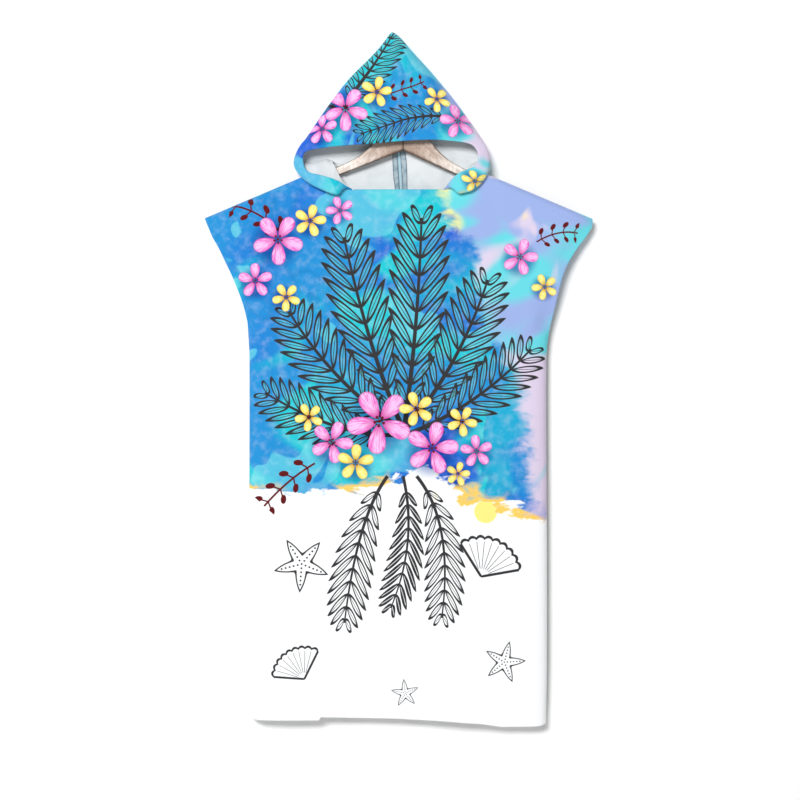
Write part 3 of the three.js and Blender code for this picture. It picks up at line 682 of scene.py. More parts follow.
def wall(grid, cut, outer, inner, facing=1, settle=lambda points: points, lips=(0, 0, 0, 0)):
    """A closed wall between two skins of a grid, outer and inner millimetres below its face.

    lips gives, for the low, right, high and left edge, how much of it is a turned hem's fold: such
    an edge rolls over as far as the hem's own thickness.
    """
    rows, columns = grid.shape[:2]
    normal = normals_of(grid) * facing
    skins = [settle(grid - depth * normal) for depth in (outer, inner)]
    index = np.arange(rows * columns).reshape(rows, columns)
    loop = np.concatenate([index[0], index[1:, -1], index[-1, -2::-1], index[-2:0:-1, 0]])
    direction, share = (values[loop] for values in lip_directions(grid, index, lips))
    face, below = skins[0].reshape(-1, 3)[loop], normal.reshape(-1, 3)[loop]
    thick = lerp(PLAIN_EDGE * (inner - outer), FOLD_EDGE, share)
    rings = []
    for step in range(1, LIP_STEPS + 1):
        turn = math.pi * step / LIP_STEPS
        down = thick / 2 * (1 - math.cos(turn))
        rings.append(settle(face - below * down + direction * share * thick / 2 * math.sin(turn)))
    points = np.concatenate([skins[0].reshape(-1, 3), skins[1].reshape(-1, 3), *rings])
    layer, around = rows * columns, len(loop)
    a = index[:-1, :-1].reshape(-1)
    quads = np.stack([a, a + 1, a + 1 + columns, a + columns], -1)
    chains = [loop] + [2 * layer + ring * around + np.arange(around) for ring in range(LIP_STEPS)]
    chains.append(layer + loop)
    rim = [
        np.stack([near, far, np.roll(far, -1), np.roll(near, -1)], -1)
        for near, far in zip(chains[:-1], chains[1:])
    ]
    faces = np.concatenate([quads, layer + quads[:, ::-1], *rim])
    if facing < 0:
        faces = faces[:, ::-1]
    flat_cut = cut.reshape(-1, 2)
    cuts = np.concatenate([flat_cut, flat_cut] + [flat_cut[loop]] * LIP_STEPS)
    reverse = np.zeros(len(faces), int)
    reverse[len(quads) : 2 * len(quads)] = 1
    return {"points": points, "faces": faces, "cut": cuts, "reverse": reverse}


def put_in_scene(name, data):
    made = bpy.data.objects.new(name, data)
    bpy.context.scene.collection.objects.link(made)
    return made


def make_mesh(name, points, faces, materials, sharp):
    """A smooth mesh object in metres, from points in millimetres in the part's frame."""
    mesh = bpy.data.meshes.new(name)
    mesh.from_pydata((points * MM).tolist(), [], faces)
    mesh.polygons.foreach_set("use_smooth", [True] * len(mesh.polygons))
    mesh.set_sharp_from_angle(angle=math.radians(sharp))
    for material in materials:
        mesh.materials.append(material)
    return put_in_scene(name, mesh)


def set_attribute(piece, name, domain, values):
    made = piece.data.attributes.new(name, "FLOAT_VECTOR", domain)
    made.data.foreach_set("vector", np.ascontiguousarray(values, np.float32).reshape(-1))


# ---- The print's places on the cloth ----


def bloom_layers(panel):
    """Blooms of a panel in layers, so that those in one layer lie clear of each other."""

    def clear(bloom, other):
        apart = math.hypot(bloom[1] - other[1], bloom[2] - other[2])
        return apart > BLOOM_REACH * (bloom[3] + other[3]) + 2 * FACE_SIZE

    layers = [[] for _ in range(BLOOM_LAYERS)]
    for bloom in zip(*BLOOMS[panel].values()):
        for layer in layers:
            if all(clear(bloom, other) for other in layer):
                layer.append(bloom)
                break
    return layers


def lay_bloom(values, corners, bloom):
    kind, x, z, size, turn = bloom
    away = corners - [x, z]
    near = np.linalg.norm(away, axis=-1).max(axis=1) < BLOOM_REACH * size + FACE_SIZE
    angle = math.radians(turn)
    cos, sin = math.cos(angle), math.sin(angle)
    local = away[near] / size
    values[near, :, 0] = local[..., 0] * cos + local[..., 1] * sin
    values[near, :, 1] = local[..., 1] * cos - local[..., 0] * sin
    values[near, :, 2] = kind


def lay_frond(values, scores, corners, frond):
    """Gives the corners near a frond their place along it and across it.

    A face between two fronds goes to the one it lies closer to.
    """
    kind, x0, z0, x1, z1, x2, z2, width = frond
    steps = np.linspace(0, 1, 41)[:, None]
    line = bend(np.array([x0, z0]), np.array([x1, z1]), np.array([x2, z2]), steps)
    middle = corners.mean(axis=1)
    reach = FROND_REACH * width
    near = (middle > line.min(axis=0) - reach).all(axis=1)
    near &= (middle < line.max(axis=0) + reach).all(axis=1)
    chosen = np.flatnonzero(near)
    closest = np.linalg.norm(middle[chosen, None] - line[None], axis=-1).min(axis=1)
    kept = (closest < reach) & (closest < scores[chosen])
    chosen = chosen[kept]
    scores[chosen] = closest[kept]
    points = corners[chosen].reshape(-1, 2)
    start, run = line[:-1], np.diff(line, axis=0)
    lengths = np.linalg.norm(run, axis=1)
    away = points[:, None] - start[None]
    share = (away * run).sum(-1) / lengths**2
    held = np.clip(share, 0, 1)
    distance = np.linalg.norm(away - held[..., None] * run[None], axis=-1)
    best = distance.argmin(axis=1)
    rows = np.arange(len(points))
    ahead = share[rows, best]
    inner = (best > 0) & (best < len(run) - 1)
    ahead = np.where(inner, np.clip(ahead, 0, 1), ahead)
    side = away[rows, best, 0] * run[best, 1] - away[rows, best, 1] * run[best, 0]
    travelled = np.concatenate([[0], np.cumsum(lengths)])
    u = (travelled[best] + ahead * lengths[best]) / travelled[-1]
    values[chosen, :, 0] = u.reshape(-1, 4)
    values[chosen, :, 1] = (side / lengths[best] / width).reshape(-1, 4)
    values[chosen, :, 2] = kind


SEEDS = {"front": 0.0, "back": 3.0, "hood": 6.0}  # where in the wash's noise each panel lies


def lay_print(piece, shape, panel):
    """Stores on a piece where each point lies in its cut, and where in each printed figure."""
    cut = shape["cut"] * MM
    set_attribute(piece, "cut", "POINT", np.column_stack([cut, np.full(len(cut), SEEDS[panel])]))
    corners = shape["cut"][shape["faces"]]
    for i, layer in enumerate(bloom_layers(panel)):
        values = np.zeros((*corners.shape[:2], 3))
        for bloom in layer:
            lay_bloom(values, corners, bloom)
        set_attribute(piece, f"bloom_{i + 1}", "CORNER", values)
    fronds = list(zip(*FRONDS[panel].values()))
    for i in range(FROND_LAYERS):
        values = np.zeros((*corners.shape[:2], 3))
        scores = np.full(len(corners), np.inf)
        for frond in fronds[i::FROND_LAYERS]:
            lay_frond(values, scores, corners, frond)
        set_attribute(piece, f"frond_{i + 1}", "CORNER", values)


# ---- Finishes ----


def srgb(red, green, blue):
    """A colour given as it looks on a screen, as the shader wants it."""

    def linear(part):
        return part / 12.92 if part <= 0.04045 else ((part + 0.055) / 1.055) ** 2.4

    return (linear(red), linear(green), linear(blue), 1)


CLOTH_WHITE = srgb(0.975, 0.98, 0.985)
REVERSE_WHITE = srgb(0.885, 0.9, 0.91)
CHARCOAL = srgb(0.2, 0.2, 0.21)
SKY = srgb(0.13, 0.55, 0.81)
COBALT = srgb(0.12, 0.38, 0.8)
DEEP_BLUE = srgb(0.06, 0.26, 0.56)
SHADE_BLUE = srgb(0.26, 0.43, 0.7)
TURQUOISE = srgb(0.1, 0.76, 0.81)
AQUA = srgb(0.4, 0.83, 0.87)
PERIWINKLE = srgb(0.6, 0.68, 0.88)
LILAC = srgb(0.85, 0.8, 0.89)
LEMON = srgb(0.98, 0.92, 0.52)
AMBER = srgb(0.98, 0.8, 0.38)
MAROON = srgb(0.38, 0.07, 0.09)
PETAL_PINK = srgb(0.9, 0.38, 0.76)
PETAL_PALE = srgb(0.97, 0.76, 0.93)
PETAL_DEEP = srgb(0.78, 0.16, 0.58)
PETAL_GOLD = srgb(0.95, 0.84, 0.24)
PETAL_LEMON = srgb(0.99, 0.95, 0.62)
PETAL_OCHRE = srgb(0.8, 0.58, 0.1)


class Value:
    """One output of a node. Arithmetic on it adds Math nodes to the same tree."""

    def __init__(self, nodes, socket):
        self.nodes = nodes
        self.socket = socket

    def math(self, operation, *others):
        return self.nodes.node("Math", {"operation": operation}, dict(enumerate((self, *others))))

    def __add__(self, other):
        return self.math("ADD", other)

    def __sub__(self, other):
        return self.math("SUBTRACT", other)

    def __rsub__(self, other):
        return self.nodes.node("Math", {"operation": "SUBTRACT"}, {0: other, 1: self})

    def __mul__(self, other):
        return self.math("MULTIPLY", other)

    def __truediv__(self, other):
        return self.math("DIVIDE", other)

    def __pow__(self, other):
        return self.math("POWER", other)

    def __lt__(self, other):
        return self.math("LESS_THAN", other)

    def __gt__(self, other):
        return self.math("GREATER_THAN", other)

    def __abs__(self):
        return self.math("ABSOLUTE")

    __radd__ = __add__
    __rmul__ = __mul__


class Nodes:
    """A node tree under construction."""

    def __init__(self, tree, output):
        self.tree = tree
        self.tree.nodes.clear()
        self.output = self.tree.nodes.new("ShaderNodeOutput" + output)

    def node(self, kind, settings=None, inputs=None, out=0):
        """Adds a node of a type, with its settings and the values or links of its sockets."""
        made = self.tree.nodes.new("ShaderNode" + kind)
        for name, value in (settings or {}).items():
            setattr(made, name, value)
        for name, value in (inputs or {}).items():
            self.feed(made.inputs[name], value)
        return Value(self, made.outputs[out])

    def feed(self, socket, value):
        if isinstance(value, Value):
            self.tree.links.new(value.socket, socket)
        else:
            socket.default_value = value

    def show(self, shader):
        self.feed(self.output.inputs["Surface"], shader)


class Finish(Nodes):
    """A material under construction."""

    def __init__(self, name, **constants):
        self.material = bpy.data.materials.new(name)
        self.material.use_nodes = True
        super().__init__(self.material.node_tree, "Material")
        self.shader = self.node("BsdfPrincipled")
        self.show(self.shader)
        for socket, value in constants.items():
            self.set(socket.replace("_", " "), value)

    def set(self, name, value):
        self.feed(self.shader.socket.node.inputs[name], value)

    def place(self):
        return self.node("TexCoord", out="Object")

    def attribute(self, name):
        return self.node("Attribute", {"attribute_name": name}, out="Vector")

    def split(self, vector):
        first = self.node("SeparateXYZ", None, {0: vector})
        return [Value(self, socket) for socket in first.socket.node.outputs]

    def join(self, x, y, z=0.0):
        return self.node("CombineXYZ", None, {0: x, 1: y, 2: z})

    def scaled(self, vector, factors, shift=(0, 0, 0)):
        settings = {"operation": "MULTIPLY_ADD"}
        return self.node("VectorMath", settings, {0: vector, 1: factors, 2: shift})

    def noise(self, vector, scale, detail=2.0, distortion=0.0, roughness=0.5):
        inputs = {"Vector": vector, "Scale": scale, "Detail": detail}
        inputs |= {"Distortion": distortion, "Roughness": roughness}
        return self.node("TexNoise", None, inputs)

    def mix(self, a, b, factor):
        return self.node("Mix", {"data_type": "RGBA"}, {0: factor, 6: a, 7: b}, out=2)

    def rise(self, value, low, high):
        """A soft step from 0 at low to 1 at high."""
        inputs = {"Value": value, "From Min": low, "From Max": high}
        return self.node("MapRange", {"interpolation_type": "SMOOTHSTEP"}, inputs)

    def bump(self, height, distance, strength=1.0):
        inputs = {"Height": height, "Distance": distance, "Strength": strength}
        self.set("Normal", self.node("Bump", None, inputs))


def wash(finish, cut):
    """Watercolour in broad dabs: blues and turquoise, paler and lilac to one side, then bare cloth."""
    x, z, _ = finish.split(cut)
    broad = finish.noise(cut, 2.6, 2, 0.3)
    dabs = finish.noise(finish.scaled(cut, (1, 1.25, 1), (4, 2, 1)), 4.4, 2, 0.5)
    over = finish.noise(finish.scaled(cut, (1.1, 0.9, 1), (9, 6, 2)), 6.2, 2.5, 0.6)
    ragged = finish.noise(finish.scaled(cut, (1.0, 1.8, 1), (2, 3, 3)), 24, 3, 0.4, 0.6)
    colour = finish.mix(SKY, COBALT, finish.rise(broad, 0.44, 0.62))
    colour = finish.mix(colour, TURQUOISE, finish.rise(dabs, 0.47, 0.57))
    # A dab laid over the first colours has a crisp edge, a little darker than its middle.
    dab = finish.rise(over, 0.545, 0.56)
    colour = finish.mix(colour, SKY, dab * 0.55)
    colour = finish.mix(colour, DEEP_BLUE, dab * (1 - finish.rise(over, 0.556, 0.6)) * 0.16)
    colour = finish.mix(colour, AQUA, (1 - finish.rise(over, 0.4, 0.415)) * 0.6)
    grain = finish.noise(cut, 60, 4)
    colour = finish.mix(colour, CLOTH_WHITE, finish.rise(grain + dabs * 0.3, 0.55, 0.95) * 0.14)
    # The pale side lies beyond a slanting, ragged line.
    aside = x + z * 0.2 + (ragged - 0.5) * 0.07 + (broad - 0.5) * 0.25
    pale = finish.mix(PERIWINKLE, AQUA, finish.rise(dabs, 0.42, 0.52))
    pale = finish.mix(pale, LILAC, finish.rise(over, 0.46, 0.52))
    pale = finish.mix(pale, LEMON, finish.rise(broad + over * 0.6, 0.87, 0.91) * 0.8)
    colour = finish.mix(colour, pale, finish.rise(aside, 0.07, 0.1))
    # Bare cloth lies below a slow wave.
    wave = (x * 11.0 + 0.9).math("SINE") * 0.03 - x * 0.1
    shore = z + 0.8 - wave + (ragged - 0.5) * 0.075 + (dabs - 0.5) * 0.16
    colour = finish.mix(colour, COBALT, (1 - finish.rise(shore, 0.0, 0.035)) * 0.35)
    fringe = finish.rise(dabs, 0.5, 0.54) * (1 - finish.rise(shore, 0.006, 0.03))
    colour = finish.mix(colour, AMBER, fringe)
    colour = finish.mix(CLOTH_WHITE, colour, finish.rise(shore, -0.004, 0.003))
    drops = finish.node("TexVoronoi", {"voronoi_dimensions": "2D"}, {"Vector": cut, "Scale": 9.0})
    splash = (1 - finish.rise(drops, 0.19, 0.21)) * finish.rise(shore, -0.12, -0.1) * (shore < 0.0)
    return finish.mix(colour, LEMON, splash * finish.rise(x, 0.06, 0.1))


LEAFLETS = 12.0  # pairs of leaflets on a frond
LEAN = 0.2  # how far forward they lean
TWIGS = 5.0  # pairs of twigs on a berry sprig
SHELL_SPREAD = 0.98  # half the angle of a shell's fan, in radians


def drawn_fronds(finish, colour, layer):
    """Fronds in charcoal line, solid ones, and berry sprigs. The layer holds (along, across, kind)."""
    u, v, kind = finish.split(finish.attribute(f"frond_{layer}"))
    out = abs(v)

    def leaf_row(count, lean):
        place = (u - out * lean) * count
        cell = place.math("FLOOR")
        return abs(place - cell - 0.5), (cell + 0.5) / count

    off, root = leaf_row(LEAFLETS, LEAN)
    reach = ((1 - root) * (root - 0.05) * 4.2).math("MAXIMUM", 0.0001) ** 0.55
    way = out / reach

    def lens(share):
        return (share * (1.0 - share) * 4).math("MAXIMUM", 0.0) ** 0.75 * 0.43

    alive = (root > 0.1) * (root < 0.99)
    body = finish.rise(lens(way) - off, 0.0, 0.04) * alive
    hollow = finish.rise(lens((way - 0.035) * 1.12) - off, 0.18, 0.22)
    vein = 1 - finish.rise(off, 0.03, 0.06)
    stem = (1 - finish.rise(out - (0.075 - u * 0.05), 0.0, 0.014)) * (u > 0.0) * (u < 0.98)
    outlined = abs(kind - OUTLINED) < 0.5
    light = {"data_type": "RGBA", "blend_type": "LIGHTEN"}
    colour = finish.node("Mix", light, {0: body * outlined * 0.35, 6: colour, 7: AQUA}, out=2)
    line = (body * (1 - hollow * (1 - vein * 0.8))).math("MAXIMUM", stem) * outlined
    solid = (body * (1 - vein * hollow * 0.8)).math("MAXIMUM", stem) * (abs(kind - FILLED) < 0.5)
    colour = finish.mix(colour, CHARCOAL, line.math("MAXIMUM", solid))

    off, root = leaf_row(TWIGS, 0.08)
    berry = 1 - finish.rise((off * 1.3) ** 2 + (out - 0.7) ** 2, 0.065, 0.085)
    twig = (1 - finish.rise(off, 0.04, 0.06)) * (out < 0.7)
    sprig = berry.math("MAXIMUM", twig).math("MAXIMUM", 1 - finish.rise(out, 0.06, 0.09))
    sprig = sprig * (root > 0.15) * (root < 0.97) * (u > 0.0) * (u < 0.97)
    return finish.mix(colour, MAROON, sprig * (abs(kind - BERRIES) < 0.5))


def drawn_blooms(finish, colour, layer):
    """Five-petalled flowers in pink or yellow, starfish and shells, each in its own sizes."""
    x, y, kind = finish.split(finish.attribute(f"bloom_{layer}"))
    radius = (x * x + y * y).math("SQRT")
    turn = y.math("ARCTAN2", x) * (5 / (2 * math.pi))
    share = turn - turn.math("FLOOR") - 0.5
    angle = share * (2 * math.pi / 5)
    out, side = radius * angle.math("COSINE"), radius * angle.math("SINE")
    flower = abs(kind - 1.5) < 0.75
    yellow = abs(kind - YELLOW) < 0.5

    # A soft shade of deep blue lies on the colour beside each flower.
    beside = ((x + 0.12) ** 2 + (y + 0.1) ** 2).math("SQRT")
    shade = (1 - finish.rise(beside, 0.5, 1.15)) * flower
    shaded = {"data_type": "RGBA", "blend_type": "MULTIPLY"}
    colour = finish.node("Mix", shaded, {0: shade * 0.75, 6: colour, 7: SHADE_BLUE}, out=2)

    aside = side / (out * 0.2 + 0.14)
    petal = ((out - 0.55) / 0.44) ** 2 + aside**2
    streaks = finish.noise(finish.join(share * 13.0, out * 1.4, kind + turn.math("FLOOR")), 2.4, 2)
    middle = 1 - finish.rise(abs(aside), 0.1, 0.75)
    heart = 1 - finish.rise(out, 0.12, 0.55)
    glow = finish.rise(streaks + middle * 0.16, 0.42, 0.68)
    pink = finish.mix(PETAL_PINK, PETAL_PALE, glow)
    pink = finish.mix(pink, PETAL_DEEP, heart * (streaks + 0.3))
    gold = finish.mix(PETAL_GOLD, PETAL_LEMON, glow)
    gold = finish.mix(gold, PETAL_OCHRE, heart * (streaks + 0.3))
    rim = finish.rise(petal, 0.72, 0.95)
    pink = finish.mix(pink, PETAL_DEEP, rim * 0.5)
    gold = finish.mix(gold, PETAL_OCHRE, rim * 0.5)
    paint = finish.mix(pink, gold, yellow)
    colour = finish.mix(colour, paint, (1 - finish.rise(petal, 0.96, 1.05)) * flower)
    stamen = (abs(radius - 0.13) < 0.05) * (abs(share) < 0.2)
    colour = finish.mix(colour, MAROON, stamen.math("MAXIMUM", radius < 0.05) * flower)

    # Starfish: an outline that waists between its arms, with a row of dots down each arm.
    arm = (1 - abs(share) * 2).math("MAXIMUM", 0.0) ** 1.9 * 0.6 + 0.34
    star = 1 - finish.rise(abs(radius - arm), 0.045, 0.065)
    beads = (abs(out * 7 - (out * 7).math("ROUND")) * 0.14) ** 2 + side**2
    dots = (1 - finish.rise(beads, 0.0009, 0.0014)) * (out < 0.75)
    star = star.math("MAXIMUM", dots) * (abs(kind - STARFISH) < 0.5)

    # Shell: ribs that fan from a hinge to a scalloped edge.
    lift = y + 0.72
    spread = x.math("ARCTAN2", lift)
    height = (x * x + lift * lift).math("SQRT")
    ribs = spread * 4.6
    between_ribs = abs(ribs - ribs.math("ROUND"))
    fan = abs(spread) < SHELL_SPREAD
    edge = (1 - finish.rise(abs(height - 1.5 + between_ribs**2 * 0.35), 0.045, 0.065)) * fan
    sides = 1 - finish.rise(abs(abs(spread) - SHELL_SPREAD) * height, 0.04, 0.06)
    sides = sides * (height < 1.43)
    grooves = (1 - finish.rise((0.5 - between_ribs) * height, 0.045, 0.07)) * fan
    grooves = grooves * (height < 1.3) * (height > 0.3) * 0.9
    shell = edge.math("MAXIMUM", sides).math("MAXIMUM", grooves) * (abs(kind - SHELL) < 0.5)
    return finish.mix(colour, CHARCOAL, star.math("MAXIMUM", shell))


def nap(finish, grain, loops):
    """The cloth's own surface: a short soft pile, with loops on the reverse."""
    place = finish.place()
    fluff = finish.noise(place, grain, 3, 0.4, 0.6)
    cells = finish.node("TexVoronoi", None, {"Vector": place, "Scale": loops})
    slubs = finish.noise(place, 60, 2)
    return fluff * 0.6 + cells * 0.8 + slubs * 0.6


def towelling(name, roughness, gloss, sheen, sheen_roughness=0.5):
    """The start of a cloth's finish."""
    return Finish(
        name,
        Roughness=roughness,
        Specular_IOR_Level=gloss,
        Sheen_Weight=sheen,
        Sheen_Roughness=sheen_roughness,
    )


def printed_cloth():
    finish = towelling("printed_cloth", 0.92, 0.2, 0.16, 0.45)
    cut = finish.attribute("cut")
    colour = wash(finish, cut)
    for layer in range(1, FROND_LAYERS + 1):
        colour = drawn_fronds(finish, colour, layer)
    for layer in range(1, BLOOM_LAYERS + 1):
        colour = drawn_blooms(finish, colour, layer)
    finish.set("Base Color", colour)
    finish.bump(nap(finish, 1300, 1100), 0.00025, 0.5)
    return finish.material


def reverse_cloth():
    finish = towelling("reverse_cloth", 0.96, 0.15, 0.22)
    cloudy = finish.noise(finish.place(), 22, 3, 0.4)
    colour = finish.mix(REVERSE_WHITE, srgb(0.81, 0.835, 0.85), finish.rise(cloudy, 0.4, 0.75))
    # The reverse is tinted bluish grey in the narrow gap between the two seam strips: partly the print
    # showing through at the seam, partly painted shade where the seam line lies in shade.
    _, depth, _ = finish.split(finish.attribute("cut"))
    strip_edge = HOOD_DEPTH - STRIP["inner"]
    show_through_and_shade = finish.rise(depth, (strip_edge - 1) * MM, strip_edge * MM)
    finish.set("Base Color", finish.mix(colour, srgb(0.7, 0.8, 0.85), show_through_and_shade))
    finish.bump(nap(finish, 900, 620), 0.0006, 0.6)
    return finish.material


def strip_cloth():
    """Pressed-open allowance: the print shows through pale, darker at its two edges."""
    finish = towelling("strip_cloth", 0.95, 0.15, 0.2)
    _, depth, _ = finish.split(finish.attribute("cut"))
    middle = (HOOD_DEPTH - (STRIP["inner"] + STRIP["outer"]) / 2) * MM
    half = (STRIP["outer"] - STRIP["inner"]) / 2 * MM
    worn = finish.noise(finish.place(), 90, 3)
    rim = finish.rise(abs(depth - middle) / half + (worn - 0.5) * 0.4, 0.5, 0.9)
    colour = finish.mix(srgb(0.68, 0.74, 0.77), srgb(0.52, 0.61, 0.66), finish.rise(worn, 0.35, 0.7))
    finish.set("Base Color", finish.mix(colour, srgb(0.31, 0.41, 0.47), rim * 0.8))
    finish.bump(nap(finish, 1000, 800), 0.0004, 0.5)
    return finish.material


def hanger_wood():
    """Pale pinkish wood, weathered, with brown blotches and specks and dark edges, darker towards the
    middle from handling and from painted shade under the hood's edge.
    """
    finish = Finish("hanger_wood", Roughness=0.62, Specular_IOR_Level=0.3)
    place = finish.attribute("grain")
    along_arm, _, height = finish.split(place)
    lines = finish.noise(finish.scaled(place, (7, 70, 1.3)), 3.4, 4, 0.5)
    clouds = finish.noise(finish.scaled(place, (1.0, 1.0, 0.012)), 46, 4, 1.0, 0.65)
    specks = finish.noise(finish.scaled(place, (1.4, 1.4, 0.03), (5, 5, 5)), 170, 3, 0.6, 0.7)
    # Darker towards the middle of the arms: partly wear from handling, partly painted shade where the
    # hood's edge shades the middle.
    handled_and_shaded = 1 - finish.rise(along_arm, 0.025, 0.095)
    stain_and_shade = handled_and_shaded * 0.6 + 0.4
    pale = finish.mix(srgb(0.99, 0.95, 0.915), srgb(0.74, 0.655, 0.595), handled_and_shaded)
    colour = finish.mix(pale, srgb(0.7, 0.61, 0.55), finish.rise(clouds, 0.42, 0.62) * stain_and_shade)
    colour = finish.mix(colour, srgb(0.66, 0.56, 0.5), finish.rise(lines, 0.5, 0.66) * stain_and_shade * 0.7)
    blotches = finish.rise(specks, 0.54, 0.64) * finish.rise(clouds, 0.42, 0.56)
    colour = finish.mix(colour, srgb(0.48, 0.35, 0.28), blotches * stain_and_shade * 0.7)
    # Painted shade, with some darkening of the wood beside the joint: darker still within a few
    # centimetres of the middle, under the hood's edge.
    colour = finish.mix(colour, srgb(0.5, 0.4, 0.33), (1 - finish.rise(along_arm, 0.004, 0.035)) * 0.35)
    edge = finish.rise(abs(height) + (clouds - 0.5) * 0.3, 0.72, 0.98)
    colour = finish.mix(colour, srgb(0.33, 0.24, 0.2), edge * 0.85)
    joint = 1 - finish.rise(along_arm, 0.0006, 0.0022)
    colour = finish.mix(colour, srgb(0.3, 0.22, 0.18), joint * 0.9)
    finish.set("Base Color", colour)
    finish.set("Roughness", 0.55 + lines * 0.2)
    finish.bump(lines + specks * 0.5, 0.0004, 0.5)
    return finish.material


def hook_steel():
    finish = Finish("hook_steel", Metallic=1.0)
    drawn = finish.noise(finish.scaled(finish.place(), (900, 900, 60)), 1.0, 3)
    cloudy = finish.rise(finish.noise(finish.place(), 180, 3), 0.4, 0.7)
    finish.set("Base Color", finish.mix(srgb(0.78, 0.79, 0.81), srgb(0.62, 0.62, 0.63), cloudy))
    finish.set("Roughness", 0.22 + drawn * 0.2)
    finish.bump(drawn, 0.00004, 0.4)
    return finish.material


def thread():
    finish = Finish("thread", Roughness=0.7, Specular_IOR_Level=0.3)
    finish.set("Base Color", wash(finish, finish.attribute("cut")))
    finish.bump(finish.noise(finish.place(), 3000, 2), 0.0001, 0.5)
    return finish.material


PRINTED = printed_cloth()
REVERSE = reverse_cloth()
STRIPS = strip_cloth()
WOOD = hanger_wood()
STEEL = hook_steel()
THREAD = thread()

# ---- Cloth pieces ----

PANEL_COLUMNS = 184
PANEL_ROWS = 246
HOOD_COLUMNS = 250
HOOD_ROWS = 110
TURN_COLUMNS = [NECK_S, NECK_S + 0.003, NECK_S + 0.009]  # where the top edge turns to the neck
TOP_ROWS = [0.9975, 0.9988]  # where the cloth rounds over the shoulder seam
NECK_ALLOWANCE = 7.0
NECK_ROOM = {"point": 12.0, "corner": 24.0}  # reach of the allowance past the neck's points
HEM_START = 0.4  # a hem's own wall starts this far in from the fold
FACE_HEM_SEEN = 10.5  # width of the face hem's own wall, as the rest of it is hidden
SLEEVE_SPAN = 694.0  # width of a panel across the middle of its sleeves
SIDE_HEIGHT = UNDERARM_Z - HEM_LINE["z"][0]
NECK_HEIGHT = NECKLINE["z"] - np.interp(0, HEM_LINE["x"], HEM_LINE["z"])

# Where each hem lies along its edge, in shares of it: its fold, with the share over which the fold
# fades in and out, then the cloth turned in behind it, and its stitches.
HEMS = {
    "bottom": {"fold": (0, 1, 0.03), "cloth": (0.03, 0.97), "thread": (0.035, 0.965)},
    "sleeve": {
        "fold": (SLEEVE_T + 0.03, 0.98, 0.05),
        "cloth": (SLEEVE_T + 0.06, 0.95),
        "thread": (SLEEVE_T + 0.07, 0.94),
    },
    "neck": {
        "fold": (FRONT_CORNER_S, 1 - FRONT_CORNER_S, 0.01),
        "cloth": (FRONT_CORNER_S + 0.004, 1 - FRONT_CORNER_S - 0.004),
        "thread": (FRONT_CORNER_S + 0.01, 1 - FRONT_CORNER_S - 0.01),
    },
    "face": {"fold": (0, 1, 0.04), "cloth": (0.05, 0.95)},
}

pieces = {}  # each piece of cloth, by the node it stands for
wholes = {}  # columns, rows and points of each panel's cut, and of the hood's surface


def hem_share(x):
    """The s of a point on the front's bottom edge at a given X."""
    s = np.linspace(0, 1, 801)
    return np.interp(x, [hem_edge("front", v)[0] for v in s], s)


def columns_of(panel):
    own = [0, 1, *TURN_COLUMNS, *[1 - s for s in TURN_COLUMNS]]
    if panel == "front":
        own += [FRONT_CORNER_S, 1 - FRONT_CORNER_S, *[hem_share(x) for x in HEM_STEP.values()]]
    return with_own(np.linspace(0, 1, PANEL_COLUMNS + 1), own)


def fold_share(hem, at):
    """How much of a hem's fold an edge is, at places along it."""
    low, high, fade = HEMS[hem]["fold"]
    return ease((at - low) / fade) * ease((high - at) / fade)


def resampled(grid, axis, own, at):
    """A grid with one of its axes read at other places than its own."""
    return np.apply_along_axis(lambda line: np.interp(at, own, line), axis, grid)


def part_of(whole, s, t):
    """Part of a panel's cut or of the hood's surface, at columns s and rows t."""
    own_s, own_t, grid = wholes[whole]
    return resampled(resampled(grid, 1, own_s, s), 0, own_t, t)


def stand_for(piece, node):
    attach(piece, "root")
    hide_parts(node)


def cloth(name, node, shape, panel, materials=(PRINTED, REVERSE)):
    """A piece of cloth, moved from the garment's frame to the part's."""
    points = shape["points"] + [GARMENT_X, 0, 0]
    piece = make_mesh(name, points, shape["faces"].tolist(), materials, SHARP["cloth"])
    piece.data.polygons.foreach_set("material_index", shape["reverse"])
    lay_print(piece, shape, panel)
    stand_for(piece, node)
    pieces[node] = piece


def turn_neck_edge(panel, shape, grid):
    """Shows the reverse along the neck edge, where the allowance lies inside the hood."""
    middle = shape["points"][shape["faces"]].mean(axis=1)
    x, z = middle[:, 0], middle[:, 2]
    top = np.interp(x, grid[-1, :, 0], grid[-1, :, 2])
    room = NECK_ROOM["point"]
    inside = (x > NECK_POINT["left"] - room) & (x < NECK_POINT["right"] + room)
    if panel == "front":
        room = NECK_ROOM["corner"]
        inside &= (x < NECKLINE["left"] - room) | (x > NECKLINE["right"] + room)
    shape["reverse"][inside & (z > top - NECK_ALLOWANCE)] = 1


def body_panel(panel):
    s = columns_of(panel)
    t = with_own(np.linspace(0, 1, PANEL_ROWS + 1), [0, *TOP_ROWS, 1])
    grid = panel_surface(panel, s, t)
    cut = panel_cut(grid)
    wholes[panel] = (s, t, cut)
    sleeve = fold_share("sleeve", t)
    neckline = fold_share("neck", s) * (panel == "front")
    lips = [fold_share("bottom", s), sleeve, neckline, sleeve]
    shape = wall(grid, cut, 0, WALL, FACING[panel], own_side(panel), lips)
    turn_neck_edge(panel, shape, grid)
    cloth(f"{panel}_panel", f"body_{panel}", shape, panel)


def hem_shape(panel, s, t, edge):
    """A hem turned in behind a panel. In the cut it runs on past the edge and back over itself."""
    cut = part_of(panel, s, t)
    axis, place = {"low": (0, 0), "high": (0, -1), "left": (1, 0), "right": (1, -1)}[edge]
    cut = 2 * np.take(cut, [place], axis=axis) - cut
    grid = panel_surface(panel, s, t)
    shape = wall(grid, cut, WALL + SEAM_GAP, FOLD_EDGE, FACING[panel], own_side(panel))
    shape["reverse"][:] = 0
    return shape


